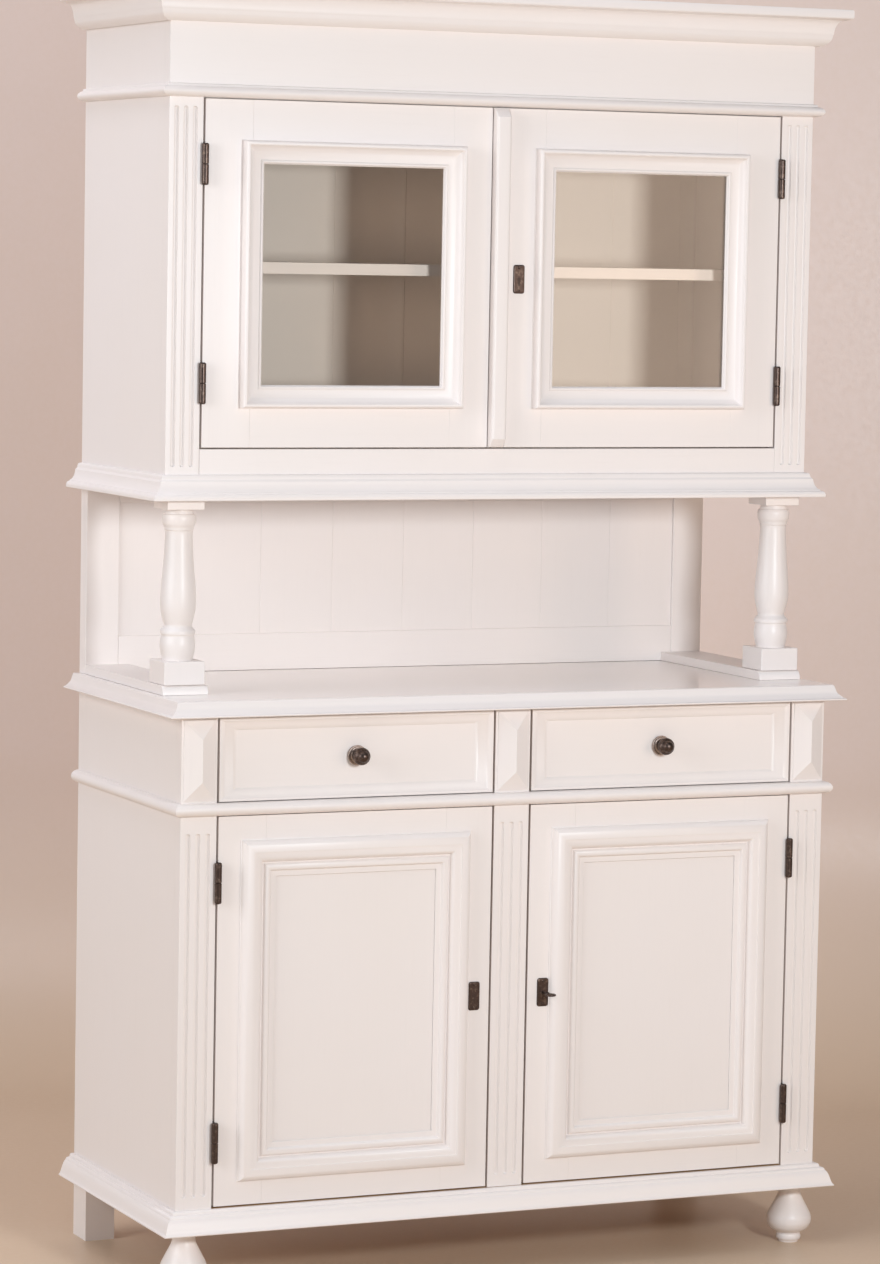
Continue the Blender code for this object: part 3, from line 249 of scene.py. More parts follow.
def glassFinish(name):
    made, shader, place = startFinish(name)
    waves = noise(place, (7.0, 7.0, 5.0), 2.0, 0.5)
    dust = noise(place, (60.0, 60.0, 60.0), 4.0, 0.6)
    shader.inputs["Base Color"].default_value = colour(*glassLook["reflect"])
    shader.inputs["Metallic"].default_value = 1.0
    feed(shader, "Roughness", dust * 0.04 + 0.02)
    bump(shader, waves, glassLook["waveDepth"], 0.25)
    tree = place.tree
    clear = tree.nodes.new("ShaderNodeBsdfTransparent")
    clear.inputs["Color"].default_value = colour(*glassLook["tint"])
    edge = place.node("ShaderNodeFresnel", None, {"IOR": 1.45})
    share = edge * 0.8 + dust * 0.008
    mixed = tree.nodes.new("ShaderNodeMixShader")
    tree.links.new(share.socket, mixed.inputs[0])
    tree.links.new(clear.outputs[0], mixed.inputs[1])
    tree.links.new(shader.outputs[0], mixed.inputs[2])
    tree.links.new(mixed.outputs[0], tree.nodes["Material Output"].inputs["Surface"])
    return made


paintLevel = paintFinish("paint_level", 0)
paintDeep = paintFinish("paint_deep", 1)
paintUpright = paintFinish("paint_upright", 2)
insideLitPaint = paintFinish("inside_paint", 2, paintLook["inside"])
counterPaint = paintFinish("counter_paint", 0, paintLook["tone"], 0.85)
woodLevel = woodFinish("pine_level", 0)
woodDeep = woodFinish("pine_deep", 1)
woodUpright = woodFinish("pine_upright", 2)
agedBrass = brassFinish("aged_brass")
litPlateBrass = brassFinish("plate_brass", 0.42, brassLook["plate"])
clearGlass = glassFinish("pane_glass")
print("finishes ready")


# Shapes: each gives (points, faces, finish number for each face)

def gridShell(points, wrapRows=False, wrapColumns=False, capRows=False, finish=None):
    # points[i, j] on a grid of two parameters; each face joins four neighbours.
    # A wrap closes a direction on itself, caps close the first and the last row.
    rows, columns = points.shape[:2]
    index = np.arange(rows * columns).reshape(rows, columns)
    if wrapRows:
        index = np.concatenate([index, index[:1]], 0)
    if wrapColumns:
        index = np.concatenate([index, index[:, :1]], 1)
    quads = np.stack([index[:-1, :-1], index[:-1, 1:], index[1:, 1:], index[1:, :-1]], -1)
    numbers = np.zeros(quads.shape[:2], int)
    if finish is not None:
        numbers += np.resize(np.array(finish), quads.shape[1])[None, :]
    faces = quads.reshape(-1, 4).tolist()
    numbers = numbers.reshape(-1).tolist()
    if capRows:
        first = np.arange(rows * columns).reshape(rows, columns)
        faces += [first[0, ::-1].tolist(), first[-1].tolist()]
        numbers += [numbers[0], numbers[0]]
    return points.reshape(-1, 3), faces, numbers


def flipped(shell):
    # the other hand: x changes sign; the normals are set right when the piece is made
    return shell[0] * np.array((-1.0, 1.0, 1.0)), shell[1], shell[2]


def board(low, high, ease=0.8, steps=2, finish=0):
    # a board with rounded edges, from its lowest to its highest corner; ease in mm.
    # A sphere's points, pushed apart to the eight corners: centre + sign * (half - r) + r * n
    low, high = np.array(low, float), np.array(high, float)
    half = (high - low) / 2
    radius = min(ease * mm, half.min() * 0.9)
    quarter = np.linspace(0, pi / 2, steps + 1)
    around = np.concatenate([quarter + k * pi / 2 for k in range(4)])
    signX = np.repeat([1, -1, -1, 1], steps + 1)
    signY = np.repeat([1, 1, -1, -1], steps + 1)
    up = np.concatenate([quarter - pi / 2, quarter])
    signZ = np.repeat([-1, 1], steps + 1)
    v, u = np.meshgrid(up, around, indexing="ij")
    normal = np.stack([np.cos(v) * np.cos(u), np.cos(v) * np.sin(u), np.sin(v)], -1)
    signs = np.stack(np.broadcast_arrays(signX[None, :], signY[None, :], signZ[:, None]), -1)
    points = (low + high) / 2 + signs * (half - radius) + normal * radius
    points, faces, numbers = gridShell(points, wrapColumns=True, capRows=True)
    return points, faces, [finish] * len(numbers)


def bend(centre, radii, start, end, steps=8):
    # points on an ellipse, angles in degrees
    angle = np.radians(np.linspace(start, end, steps))
    return np.stack([centre[0] + radii[0] * np.cos(angle), centre[1] + radii[1] * np.sin(angle)], -1)


def line(*points):
    # straight stretches from point to point
    return np.array(points, float)


def profileOf(*runs):
    # runs of points joined end to end
    return np.concatenate(runs)


def softened(points, per=6):
    # a smooth curve through the points: Catmull-Rom, worked out for all spans at once
    points = np.array(points, float)
    padded = np.concatenate([2 * points[:1] - points[1:2], points, 2 * points[-1:] - points[-2:-1]])
    a, b, c, d = padded[:-3], padded[1:-2], padded[2:-1], padded[3:]
    t = np.linspace(0, 1, per, endpoint=False)[None, :, None]
    a, b, c, d = (p[:, None, :] for p in (a, b, c, d))
    square = (2 * a - 5 * b + 4 * c - d) * t ** 2
    cube = (3 * b - a - 3 * c + d) * t ** 3
    curve = 0.5 * (2 * b + (c - a) * t + square + cube)
    return np.concatenate([curve.reshape(-1, 2), points[-1:]])


def turned(profile, centre, axis=2, steps=48, finish=0):
    # radius and height of each profile point, swept round an axis through the centre
    profile = np.array(profile, float)
    angle = np.linspace(0, 2 * pi, steps, endpoint=False)
    ring = np.stack([np.cos(angle), np.sin(angle), np.zeros(steps)], -1)
    points = profile[:, 0, None, None] * ring[None] + profile[:, 1, None, None] * np.array((0, 0, 1.0))
    if axis == 1:
        points = np.stack([points[..., 0], -points[..., 2], points[..., 1]], -1)
    points = points + np.array(centre, float)
    return gridShell(points, wrapColumns=True, capRows=True, finish=finish)


def threeSided(profile, halfX, front, back, finish=(1, 0, 1)):
    # a closed profile of (reach, height) carried along left side, front and right side, mitred
    profile = np.array(profile, float)
    reach, height = profile[:, 0], profile[:, 1]
    ones = np.ones_like(reach)
    path = [
        (-(halfX + reach), back * ones),
        (-(halfX + reach), front - reach),
        (halfX + reach, front - reach),
        (halfX + reach, back * ones),
    ]
    points = np.stack([np.stack([x, y, height], -1) for x, y in path], 0)
    shell = gridShell(points, wrapColumns=True, capRows=True)
    around = len(profile)
    numbers = np.repeat(finish, around).tolist() + [finish[0], finish[2]]
    return shell[0], shell[1], numbers


def ringFrame(profile, rect, face, finish=(1, 0, 1, 0)):
    # a closed profile of (inset from the rectangle, rise from the face), mitred round four corners
    profile = np.array(profile, float)
    inset, rise = profile[:, 0], profile[:, 1]
    x0, x1, z0, z1 = rect
    y = face - rise
    left, right = x0 + inset, x1 - inset
    low, high = z0 + inset, z1 - inset
    path = [(left, low), (left, high), (right, high), (right, low)]
    points = np.stack([np.stack([x, y, z], -1) for x, z in path], 0)
    shell = gridShell(points, wrapRows=True, wrapColumns=True)
    return shell[0], shell[1], np.repeat(finish, len(profile)).tolist()


def nested(rings, rect, finish=(0, 0, 0, 0)):
    # rings of (inset across, inset up, y), each a rectangle; the first and the last are filled
    rings = np.array(rings, float)
    x0, x1, z0, z1 = rect
    dx, dz, y = rings.T
    corners = [(x0 + dx, z0 + dz), (x1 - dx, z0 + dz), (x1 - dx, z1 - dz), (x0 + dx, z1 - dz)]
    points = np.stack([np.stack([x, y, z], -1) for x, z in corners], 1)
    return gridShell(points, wrapColumns=True, capRows=True, finish=finish)


def flutedBoard(low, high, lines, radius, stops, finish=0):
    # the front of a board as a height field: depth = sqrt(r^2 - d^2), where d is the distance
    # to the nearest of the groove lines; the rim rows go back to close the board
    x0, y0, z0 = low
    x1, y1, z1 = high
    ease = 0.8 * mm
    inStop = 1 * mm
    across = [np.array([x0 + ease])]
    for centre in lines:
        across.append(centre + radius * np.sin(np.linspace(-pi / 2, pi / 2, 13)))
        across.append(np.array([centre - radius * 1.12, centre + radius * 1.12]))
    across.append(np.array([x1 - ease]))
    x = np.sort(np.concatenate(across))
    endRows = radius * np.sin(np.linspace(-pi / 2, pi / 2, 13))
    up = [np.array([z0 + ease]), np.linspace(stops[0] + radius, stops[1] - radius, 9)]
    up += [stops[0] + radius + endRows[:7], stops[1] - radius + endRows[6:]]
    up += [np.array([stops[0] - inStop, stops[1] + inStop, z1 - ease])]
    z = np.unique(np.round(np.concatenate(up), 7))
    gridX, gridZ = np.meshgrid(x, z)
    depth = np.zeros_like(gridX)
    for centre in lines:
        nearest = np.clip(gridZ, stops[0] + radius, stops[1] - radius)
        gap = np.hypot(gridX - centre, gridZ - nearest)
        depth = np.maximum(depth, np.sqrt(np.maximum(radius ** 2 - gap ** 2, 0)))
    field = np.stack([gridX, y0 + depth * 0.9, gridZ], -1)

    def rim(grid, grow, y):
        grown = grid.copy()
        grown[:, 0, 0] -= grow
        grown[:, -1, 0] += grow
        grown[0, :, 2] -= grow
        grown[-1, :, 2] += grow
        loop = np.concatenate([grown[0, :-1], grown[:-1, -1], grown[-1, :0:-1], grown[:0:-1, 0]])
        loop[:, 1] = y
        return loop

    front = gridShell(field)
    eased = ((0, y0), (ease * 0.7, y0 + ease * 0.3), (ease, y0 + ease), (ease, y1))
    loops = [rim(field, grow, y) for grow, y in eased]
    sides = gridShell(np.stack(loops, 0)[::-1], wrapColumns=True)
    back = len(front[0]) + np.arange(len(loops[0]))
    faces = front[1] + (np.array(sides[1]) + len(front[0])).tolist() + [back.tolist()]
    return np.concatenate([front[0], sides[0]]), faces, [finish] * len(faces)


def closedTube(path, radius, steps):
    # a circle carried along a closed level path of points; its plane turns with the path
    ahead = np.roll(path, -1, 0) - np.roll(path, 1, 0)
    ahead /= np.linalg.norm(ahead, axis=1)[:, None]
    side = np.cross(ahead, (0.0, 0.0, 1.0))
    side /= np.linalg.norm(side, axis=1)[:, None]
    top = np.cross(side, ahead)
    angle = np.linspace(0, 2 * pi, steps, endpoint=False)
    ring = np.cos(angle)[None, :, None] * side[:, None] + np.sin(angle)[None, :, None] * top[:, None]
    return gridShell(path[:, None] + radius * ring, wrapRows=True, wrapColumns=True)


def closedShell(shell):
    # one shell by itself: doubles merged, then its faces turned outwards
    sheet = bpy.data.meshes.new("shell")
    sheet.from_pydata(shell[0].tolist(), [], shell[1])
    sheet.polygons.foreach_set("material_index", shell[2])
    tidy = bmesh.new()
    tidy.from_mesh(sheet)
    bmesh.ops.remove_doubles(tidy, verts=tidy.verts, dist=2e-6)
    bmesh.ops.dissolve_degenerate(tidy, edges=tidy.edges, dist=1e-6)
    bmesh.ops.recalc_face_normals(tidy, faces=tidy.faces)
    tidy.to_mesh(sheet)
    tidy.free()
    return sheet


def makePiece(name, shells, finishes, body, stands=(), sharp=32):
    # one object from closed shells, shaded smooth up to an angle
    whole = bmesh.new()
    for shell in shells:
        sheet = closedShell(shell)
        whole.from_mesh(sheet)
        bpy.data.meshes.remove(sheet)
    mesh = bpy.data.meshes.new(name)
    for finish in finishes:
        mesh.materials.append(finish)
    whole.to_mesh(mesh)
    whole.free()
    mesh.shade_smooth()
    mesh.set_sharp_from_angle(angle=radians(sharp))
    piece = bpy.data.objects.new(name, mesh)
    bpy.context.scene.collection.objects.link(piece)
    even = piece.modifiers.new("evenShading", "WEIGHTED_NORMAL")
    even.keep_sharp = True
    even.weight = 80
    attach(piece, body)
    if stands:
        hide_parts(*stands)
    return piece


def dress(node, finish):
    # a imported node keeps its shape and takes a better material
    for place in frame["nodes"][node].material_slots:
        place.material = finish


def span(node):
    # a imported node's lowest and highest corner
    low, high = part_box(node)
    return np.array(low), np.array(high)


def levels(node):
    low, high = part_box(node)
    return low[2], high[2]


def pivot(joint):
    return next(j for j in frame["joints"] if j["name"] == joint)["pos_m"]


# Levels and planes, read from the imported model

baseFront = span("base_left_stile")[1][1] - faceDepth
upperFront = span("left_upper_stile")[0][1]
wallSide = span("counter_top")[1][1]
cupboardFace = wallSide - 10 * mm  # the boarding behind the shelves
halfWidth = span("right_base_side")[1][0]
paints = (paintLevel, paintDeep, paintUpright)
sides = (("left", -1), ("right", 1))


def handed(shells, side):
    return [flipped(s) for s in shells] if side < 0 else shells


def carcassPiece(name, shells, node):
    makePiece(name, shells, paints, "carcass", [node])


# Base moulding, waist moulding, head bead, upper moulding and crown: profiles carried round three sides

runs = {
    "plinthReach": 27.0, "plinthShoulder": 15.0, "waistReach": 13.0,
    "upperReach": 27.0, "crownReach": 46.8, "headReach": 15.0, "headBead": 21.0, "railRise": 2.0,
}


def baseMoulding():
    z0, z1 = levels("base_moulding")
    reach = runs["plinthReach"] * mm
    step = runs["plinthShoulder"] * mm
    profile = profileOf(
        line((0.0003, z0), (0.0003, z1), (step - 0.0105, z1)),
        bend((step - 0.0105, z1 - 0.0035), (0.0035, 0.0035), 82, 10, 5),
        line((step - 0.0068, z1 - 0.0055), (step - 0.0045, z1 - 0.0058)),
        bend((step - 0.0045, z1 - 0.0103), (0.0045, 0.0045), 80, 0, 6),
        softened([
            (step + 0.0020, z0 + 0.0240), (step + 0.0048, z0 + 0.0186), (reach - 0.0034, z0 + 0.0068),
            (reach - 0.0016, z0 + 0.0036), (reach - 0.0002, z0 + 0.0024),
        ], 4),
        line((reach, z0 + 0.001), (reach - 0.001, z0)),
    )
    carcassPiece("baseMoulding", [threeSided(profile, halfWidth, baseFront, wallSide)], "base_moulding")


def waistMoulding():
    z0, z1 = levels("waist_moulding")
    middle = (z0 + z1) / 2
    profile = profileOf(
        line((0.0003, z0), (0.0003, z1)),
        bend((0.0, middle), (runs["waistReach"] * mm, (z1 - z0) / 2), 84, -84, 16),
    )
    shells = [threeSided(profile, halfWidth, baseFront, wallSide)]
    stile = span("base_centre_stile")
    near = stile[1][0] + seat
    far = span("base_right_stile")[0][0] - seat
    for side in (-1, 1):
        ends = sorted((side * near, side * far))
        rail = (ends[1], baseFront + faceDepth, z1 - 2 * seat)
        shells.append(board((ends[0], baseFront - runs["railRise"] * mm, z0 + 2 * seat), rail, 0.6))
    carcassPiece("waistMoulding", shells, "waist_moulding")


def upperMoulding():
    z0, z1 = levels("upper_base_moulding")
    reach = runs["upperReach"] * mm
    profile = profileOf(
        line((0.0003, z0), (reach - 0.001, z0), (reach, z0 + 0.0008), (reach, z0 + 0.0052)),
        bend((reach - 0.0068, z0 + 0.0052), (0.0062, 0.0052), 4, 84, 6),
        line((reach - 0.0068, z0 + 0.0118)),
        bend((reach - 0.0058, z1 - 0.0075), (reach - 0.0168, 0.0205), 262, 190, 9),
        line((0.0078, z1 - 0.0075), (0.0076, z1 - 0.0052)),
        bend((0.0042, z1 - 0.0048), (0.0030, 0.0040), 8, 84, 4),
        line((0.0003, z1)),
    )
    shells = [threeSided(profile, halfWidth, upperFront, wallSide)]
    carcassPiece("upperMoulding", shells, "upper_base_moulding")


def friezeAndBead():
    z0, z1 = levels("frieze")
    edge = span("right_upper_stile")[0][0] - seat
    beadTop = z0 + runs["headBead"] * mm
    back = upperFront + faceDepth
    inner = halfWidth - sideDepth - seat
    railFront = upperFront - runs["railRise"] * mm
    skinFront = upperFront - 0.6 * mm
    shells = [
        board((-edge, upperFront, beadTop - mm), (edge, back, z1), 0.5),
        board((-edge, railFront, z0 + 2 * seat), (edge, back, beadTop - 2 * seat), 0.6),
        board((-halfWidth, skinFront, beadTop - mm), (halfWidth, skinFront + 0.5 * mm, z1), 0.1),
        board((-inner, back + seat, z0), (inner, cupboardFace - seat, z0 + sideDepth), 0.5),
    ]
    reach = runs["headReach"] * mm
    profile = profileOf(
        line((0.0003, z0), (0.0003, beadTop)),
        bend((0.0, beadTop - 0.0018), (0.0052, 0.0018), 84, 0, 4),
        bend((0.0, z0 + 0.0088), (reach, 0.0088), 68, -84, 16),
    )
    shells.append(threeSided(profile, halfWidth, upperFront, wallSide))
    carcassPiece("friezeBoard", shells, "frieze")


def crownMoulding():
    z0, z1 = levels("crown")
    ledge = z1 - 50 * mm + seat
    tip = runs["crownReach"] * mm
    nose = z1 - 0.0425
    profile = profileOf(
        line((0.0003, z0), (0.0012, z0 + 0.0018)),
        bend((-0.0165, nose - 0.0016), (0.0375, 0.0195), -52, -8, 7),
        line((0.0215, nose), (0.0220, nose + 0.0016)),
        bend((0.0335, nose + 0.0016), (0.0108, 0.0228), 176, 98, 12),
        line((0.0330, z1 - 0.0172), (0.0352, z1 - 0.0168)),
        bend((0.0372, z1 - 0.0156), (0.0026, 0.0018), 200, 330, 5),
        line((tip - 0.0040, z1 - 0.0152)),
        bend((tip - 0.0036, z1 - 0.0116), (0.0036, 0.0036), -80, 0, 5),
        line((tip, z1 - 0.0025), (tip - 0.0012, z1), (0.0003, z1)),
    )
    shells = [threeSided(profile, halfWidth, upperFront, wallSide)]
    shells.append(board((-halfWidth, upperFront, ledge), (halfWidth, wallSide, ledge + sideDepth), 0.5))
    carcassPiece("crownMoulding", shells, "crown")


baseMoulding()
waistMoulding()
upperMoulding()
friezeAndBead()
crownMoulding()
print("mouldings ready")


# Counter

counterLook = {"foot": 21.0, "reach": 27.7, "cove": 16.0, "nose": 4.2}


def counter():
    # the edge profile carried round a rectangle, filled above and below
    z0, z1 = levels("counter_top")
    foot = counterLook["foot"] * mm
    reach = counterLook["reach"] * mm
    cove = counterLook["cove"] * mm
    nose = z0 + counterLook["nose"] * mm
    edge = profileOf(
        line((foot - 0.0008, z0), (foot, z0 + 0.0006), (reach - 0.0016, z0 + 0.0012)),
        bend((reach - 0.0020, nose - 0.0016), (0.0020, 0.0016), -70, 80, 7),
        line((reach - 0.0030, nose + 0.0004)),
        softened([
            (reach - 0.0045, nose + 0.0013), (reach - cove * 0.52, nose + 0.0045),
            (reach - cove * 0.78, nose + 0.0090), (reach - cove * 0.92, z1 - 0.0062),
            (reach - cove, z1 - 0.0026),
        ], 4),
        line((reach - cove - 0.0006, z1 - 0.0010), (reach - cove - 0.0022, z1)),
    )
    x = halfWidth + edge[:, 0]
    y0 = baseFront - edge[:, 0]
    y1 = np.full_like(x, wallSide)
    corners = [(-x, y0), (x, y0), (x, y1), (-x, y1)]
    points = np.stack([np.stack([cx, cy, edge[:, 1]], -1) for cx, cy in corners], 1)
    shell = gridShell(points, wrapColumns=True, capRows=True)
    makePiece("counterTop", [shell], [counterPaint], "carcass", ["counter_top"])


counter()


# Feet

footLook = {
    "neck": 17.8, "belly": 37.0, "foot": 18.0, "top": 99.7,
    "fromSide": 26.0, "fromFront": 30.0, "block": 60.0,
}


def frontFoot(name, side):
    # a turned foot, and the corner block behind it that carries it
    x = halfWidth - footLook["fromSide"] * mm
    y = baseFront + footLook["fromFront"] * mm
    neck, belly, foot, top = (footLook[key] for key in ("neck", "belly", "foot", "top"))
    curve = softened([
        (neck + 3, top - 6.5), (neck + 0.5, top - 12), (neck + 1.5, top - 20), (neck + 6.5, top - 31),
        (neck + 13, top - 43), (belly - 1, top - 54), (belly, top - 61.7), (belly - 1.5, top - 69),
        (belly - 7, top - 77), (foot + 1.5, top - 83.7),
    ], 5)
    profile = profileOf(
        line((0, top), (neck + 4, top)),
        bend((neck + 4, top - 3), (2.4, 3), 84, -84, 6),
        curve,
        line((foot + 1.5, top - 85)),
        bend((foot + 0.5, 9), (2.0, 5), 70, -70, 6),
        line((foot - 1, 3), (foot - 2, 0), (0, 0)),
    ) * mm
    block = footLook["block"] * mm
    outside = halfWidth - sideDepth - seat
    near = baseFront + faceDepth + seat
    corner = (outside, near + block, levels("front_right_foot")[1])
    head = board((outside - block, near, 96 * mm), corner, 0.8)
    shells = handed([turned(profile, (x, y, 0), steps=56, finish=2), head], side)
    carcassPiece(name + "FrontFoot", shells, "front_" + name + "_foot")


for name, side in sides:
    frontFoot(name, side)
    dress("rear_" + name + "_foot", paintUpright)


# Niche: boards under the posts, posts, boarded back

def nicheBoard(name, side):
    # the board's outline, seen from the side, carried across its thickness
    (x0, front, z0), (x1, back, z1) = span("right_niche_board")
    nose = bend((front + 0.010, z0), (0.010, z1 - z0), 178, 92, 9)
    outline = profileOf(line((back, z0), (front, z0)), nose, line((back, z1)))
    ease = 0.6 * mm
    rows = [(x0, ease), (x0 + ease * 0.4, ease * 0.2), (x0 + ease, 0)]
    rows += [(x1 - ease, 0), (x1 - ease * 0.4, ease * 0.2), (x1, ease)]
    middle = np.array(((front + back) / 2, (z0 + z1) / 2))
    grids = []
    for x, shrink in rows:
        ring = outline - np.sign(outline - middle) * shrink
        grids.append(np.stack([np.full(len(ring), x), ring[:, 0], ring[:, 1]], -1))
    shell = gridShell(np.stack(grids, 0), wrapColumns=True, capRows=True, finish=1)
    carcassPiece(name + "NicheBoard", handed([shell], side), name + "_niche_board")


postLook = {
    "block": 68.0, "topBlock": 62.0, "baseHeight": 37.0, "headHeight": 15.5,
    "fromSide": 37.5, "fromFront": 34.0,
}


def post(name, side):
    # turned between two square blocks; radii in mm, heights as shares of the turned length
    low, high = span("right_niche_post")
    x = halfWidth - postLook["fromSide"] * mm
    y = upperFront + postLook["fromFront"] * mm
    baseTop = low[2] + postLook["baseHeight"] * mm
    headLow = high[2] + seat - postLook["headHeight"] * mm
    shaft = headLow - baseTop
    lowShape = softened([
        (23.8, 0.000), (25.4, 0.028), (27.6, 0.070), (28.0, 0.112), (26.6, 0.150), (25.9, 0.160),
    ], 5)
    bellyShape = softened([
        (22.6, 0.222), (22.2, 0.236), (24.2, 0.268), (27.6, 0.335), (28.2, 0.400), (27.3, 0.480),
        (24.9, 0.590), (23.1, 0.700), (21.9, 0.790), (21.4, 0.842),
    ], 6)
    profile = profileOf(
        line((0, -0.012), (23.4, -0.012)),
        lowShape,
        line((26.0, 0.170), (27.4, 0.174)),
        bend((25.4, 0.190), (2.6, 0.015), 0, 60, 4),
        bend((25.4, 0.190), (2.6, 0.015), 0, 70, 4),
        line((24.6, 0.212)),
        bellyShape,
        line((21.6, 0.858), (22.9, 0.864), (23.1, 0.876)),
        softened([(23.4, 0.882), (25.6, 0.902), (26.5, 0.928), (26.3, 0.950), (24.9, 0.966)], 4),
        line((22.6, 0.972), (22.2, 0.984), (21.4, 0.990), (21.4, 1.012), (0, 1.012)),
    )
    profile = np.stack([profile[:, 0] * mm, baseTop + profile[:, 1] * shaft], -1)
    shells = [turned(profile, (x, y, 0), steps=64, finish=2)]
    half = postLook["block"] / 2 * mm
    shells.append(board((x - half, y - half, low[2]), (x + half, y + half, baseTop), 1.6, 3, 2))
    half = postLook["topBlock"] / 2 * mm
    shells.append(board((x - half, y - half, headLow), (x + half, y + half, high[2]), 1.2, 3, 2))
    carcassPiece(name + "Post", handed(shells, side), name + "_niche_post")


nicheLook = {
    "stile": 57.0, "lowRail": 61.0, "topRail": 25.0, "sink": 4.5,
    "boardPitch": 129.0, "groove": 1.5,
}


def boardedPanel(reach, bottom, top, face, finish):
    # a panel whose face has a shallow V at each joint of its boards
    groove = nicheLook["groove"] / 2 * mm
    joints = np.arange(-4, 5) * nicheLook["boardPitch"] * mm
    joints = joints[np.abs(joints) < reach - 20 * mm]
    x = np.concatenate([[-reach], (joints[:, None] + np.array((-groove, 0, groove))).ravel(), [reach]])
    dip = np.concatenate([[0], np.tile((0, groove * 0.9, 0), len(joints)), [0]])
    loop = np.concatenate([np.stack([x, face + dip], -1), line((reach, wallSide), (-reach, wallSide))])
    rows = [np.stack([loop[:, 0], loop[:, 1], np.full(len(loop), z)], -1) for z in (bottom, top)]
    return gridShell(np.stack(rows, 0), wrapColumns=True, capRows=True, finish=finish)


def nicheBack():
    # two stiles and two rails round the boarding
    low = span("upper_back")[0]
    panelFace = low[1] + nicheLook["sink"] * mm
    z0 = low[2]
    z1 = levels("upper_bottom")[0] - seat
    inner = halfWidth - nicheLook["stile"] * mm
    shells = []
    for side in (-1, 1):
        ends = sorted((side * inner, side * halfWidth))
        shells.append(board((ends[0], low[1], z0), (ends[1], panelFace + mm, z1), 1.4, 3, 2))
    for bottom, top in ((z0, z0 + nicheLook["lowRail"] * mm), (z1 - nicheLook["topRail"] * mm, z1)):
        shells.append(board((-inner, low[1], bottom), (inner, panelFace + mm, top), 1.2, 3, 0))
    shells.append(boardedPanel(halfWidth, z0, z1, panelFace, 2))
    carcassPiece("nicheBack", shells, "upper_back")


def cupboardBack():
    # behind the glass the same boarding, in a lighter, warmer copy of the paint: painted warm light inside
    # the cupboard
    top = levels("upper_back")[1]
    bottom = levels("upper_bottom")[0] - seat
    reach = halfWidth - sideDepth - seat
    shell = boardedPanel(reach, bottom, top, cupboardFace, 0)
    makePiece("cupboardBack", [shell], [insideLitPaint], "carcass")


for name, side in sides:
    nicheBoard(name, side)
    post(name, side)
nicheBack()
cupboardBack()
print("niche ready")


# Fluted stiles and hipped blocks

fluteLook = {
    "radius": 4.0, "pitch": 16.4, "upperPitch": 15.3, "shift": 0.85,
    "low": 17.0, "high": 27.0, "upperLow": 52.0, "upperHigh": 14.0,
}
blockLook = {"margin": 4.0, "rise": 15.0, "edge": 2.0, "hip": 30.0}


def hippedBlock(x0, x1, z0, z1, face):
    # four slopes up to a level ridge, on a thin square edge
    margin = blockLook["margin"] * mm
    rise = blockLook["rise"] * mm
    edge = blockLook["edge"] * mm
    half = (x1 - x0) / 2 - margin
    hip = blockLook["hip"] * mm
    rings = [
        (0, 0, face + 0.001), (0, 0, face - edge + 0.0006), (0.0005, 0.0005, face - edge),
        (half * 0.96, hip * 0.96, face - rise + 0.0005), (half * 0.985, hip * 0.985, face - rise),
    ]
    return nested(rings, (x0 + margin, x1 - margin, z0, z1), finish=2)


def stileBoard(low, high, side, front, pitch, stops):
    # three flutes, set a little off the middle on the outer stiles
    middle = (low[0] + high[0]) / 2 + side * fluteLook["shift"] * mm
    lines = [middle + k * pitch * mm for k in (-1, 0, 1)]
    near = (low[0], front, low[2])
    far = (high[0], front + faceDepth, high[2])
    return flutedBoard(near, far, lines, fluteLook["radius"] * mm, stops, 2)


def baseStile(name, side):
    node = "base_" + name + "_stile"
    low, high = span(node)
    waist = levels("waist_moulding")
    doorLow = levels("lower_left_door_frame")[0]
    stops = (doorLow + fluteLook["low"] * mm, waist[0] - fluteLook["high"] * mm)
    shells = [stileBoard(low, high, side, baseFront, fluteLook["pitch"], stops)]
    margin = blockLook["margin"] * mm
    top = levels("counter_top")[0] - margin
    shells.append(hippedBlock(low[0], high[0], waist[1] + margin, top, baseFront))
    carcassPiece(name + "BaseStile", shells, node)


def upperStile(name, side):
    node = name + "_upper_stile"
    low, high = span(node)
    stops = (low[2] + fluteLook["upperLow"] * mm, levels("frieze")[0] - fluteLook["upperHigh"] * mm)
    shells = [stileBoard(low, high, side, upperFront, fluteLook["upperPitch"], stops)]
    carcassPiece(name + "UpperStile", shells, node)


for name, side in sides:
    baseStile(name, side)
    upperStile(name, side)
baseStile("centre", 0)
print("stiles ready")


# Doors

lowerDoorLook = {"stile": 80.0, "topRoom": 1.2, "mouldingStart": 37.0, "mouldingRise": 13.5}
upperDoorLook = {
    "hingeStile": 80.0, "leftStile": 66.8, "rightStile": 94.0, "topRoom": 1.0,
    "mouldingInset": 18.5, "mouldingRise": 19.0, "bead": 10.0,
}


def framed(rect, opening, front, ease=0.7):
    # two upright stiles with two rails between them, which reach a hair into the stiles
    x0, x1, z0, z1 = rect
    a0, a1, b0, b1 = opening
    back = front + faceDepth
    into = 0.1 * mm
    return [
        board((x0, front, z0), (a0, back, z1), ease, finish=2),
        board((a1, front, z0), (x1, back, z1), ease, finish=2),
        board((a0 - into, front, z0), (a1 + into, back, b0), ease * 0.6),
        board((a0 - into, front, b1), (a1 + into, back, z1), ease * 0.6),
    ]


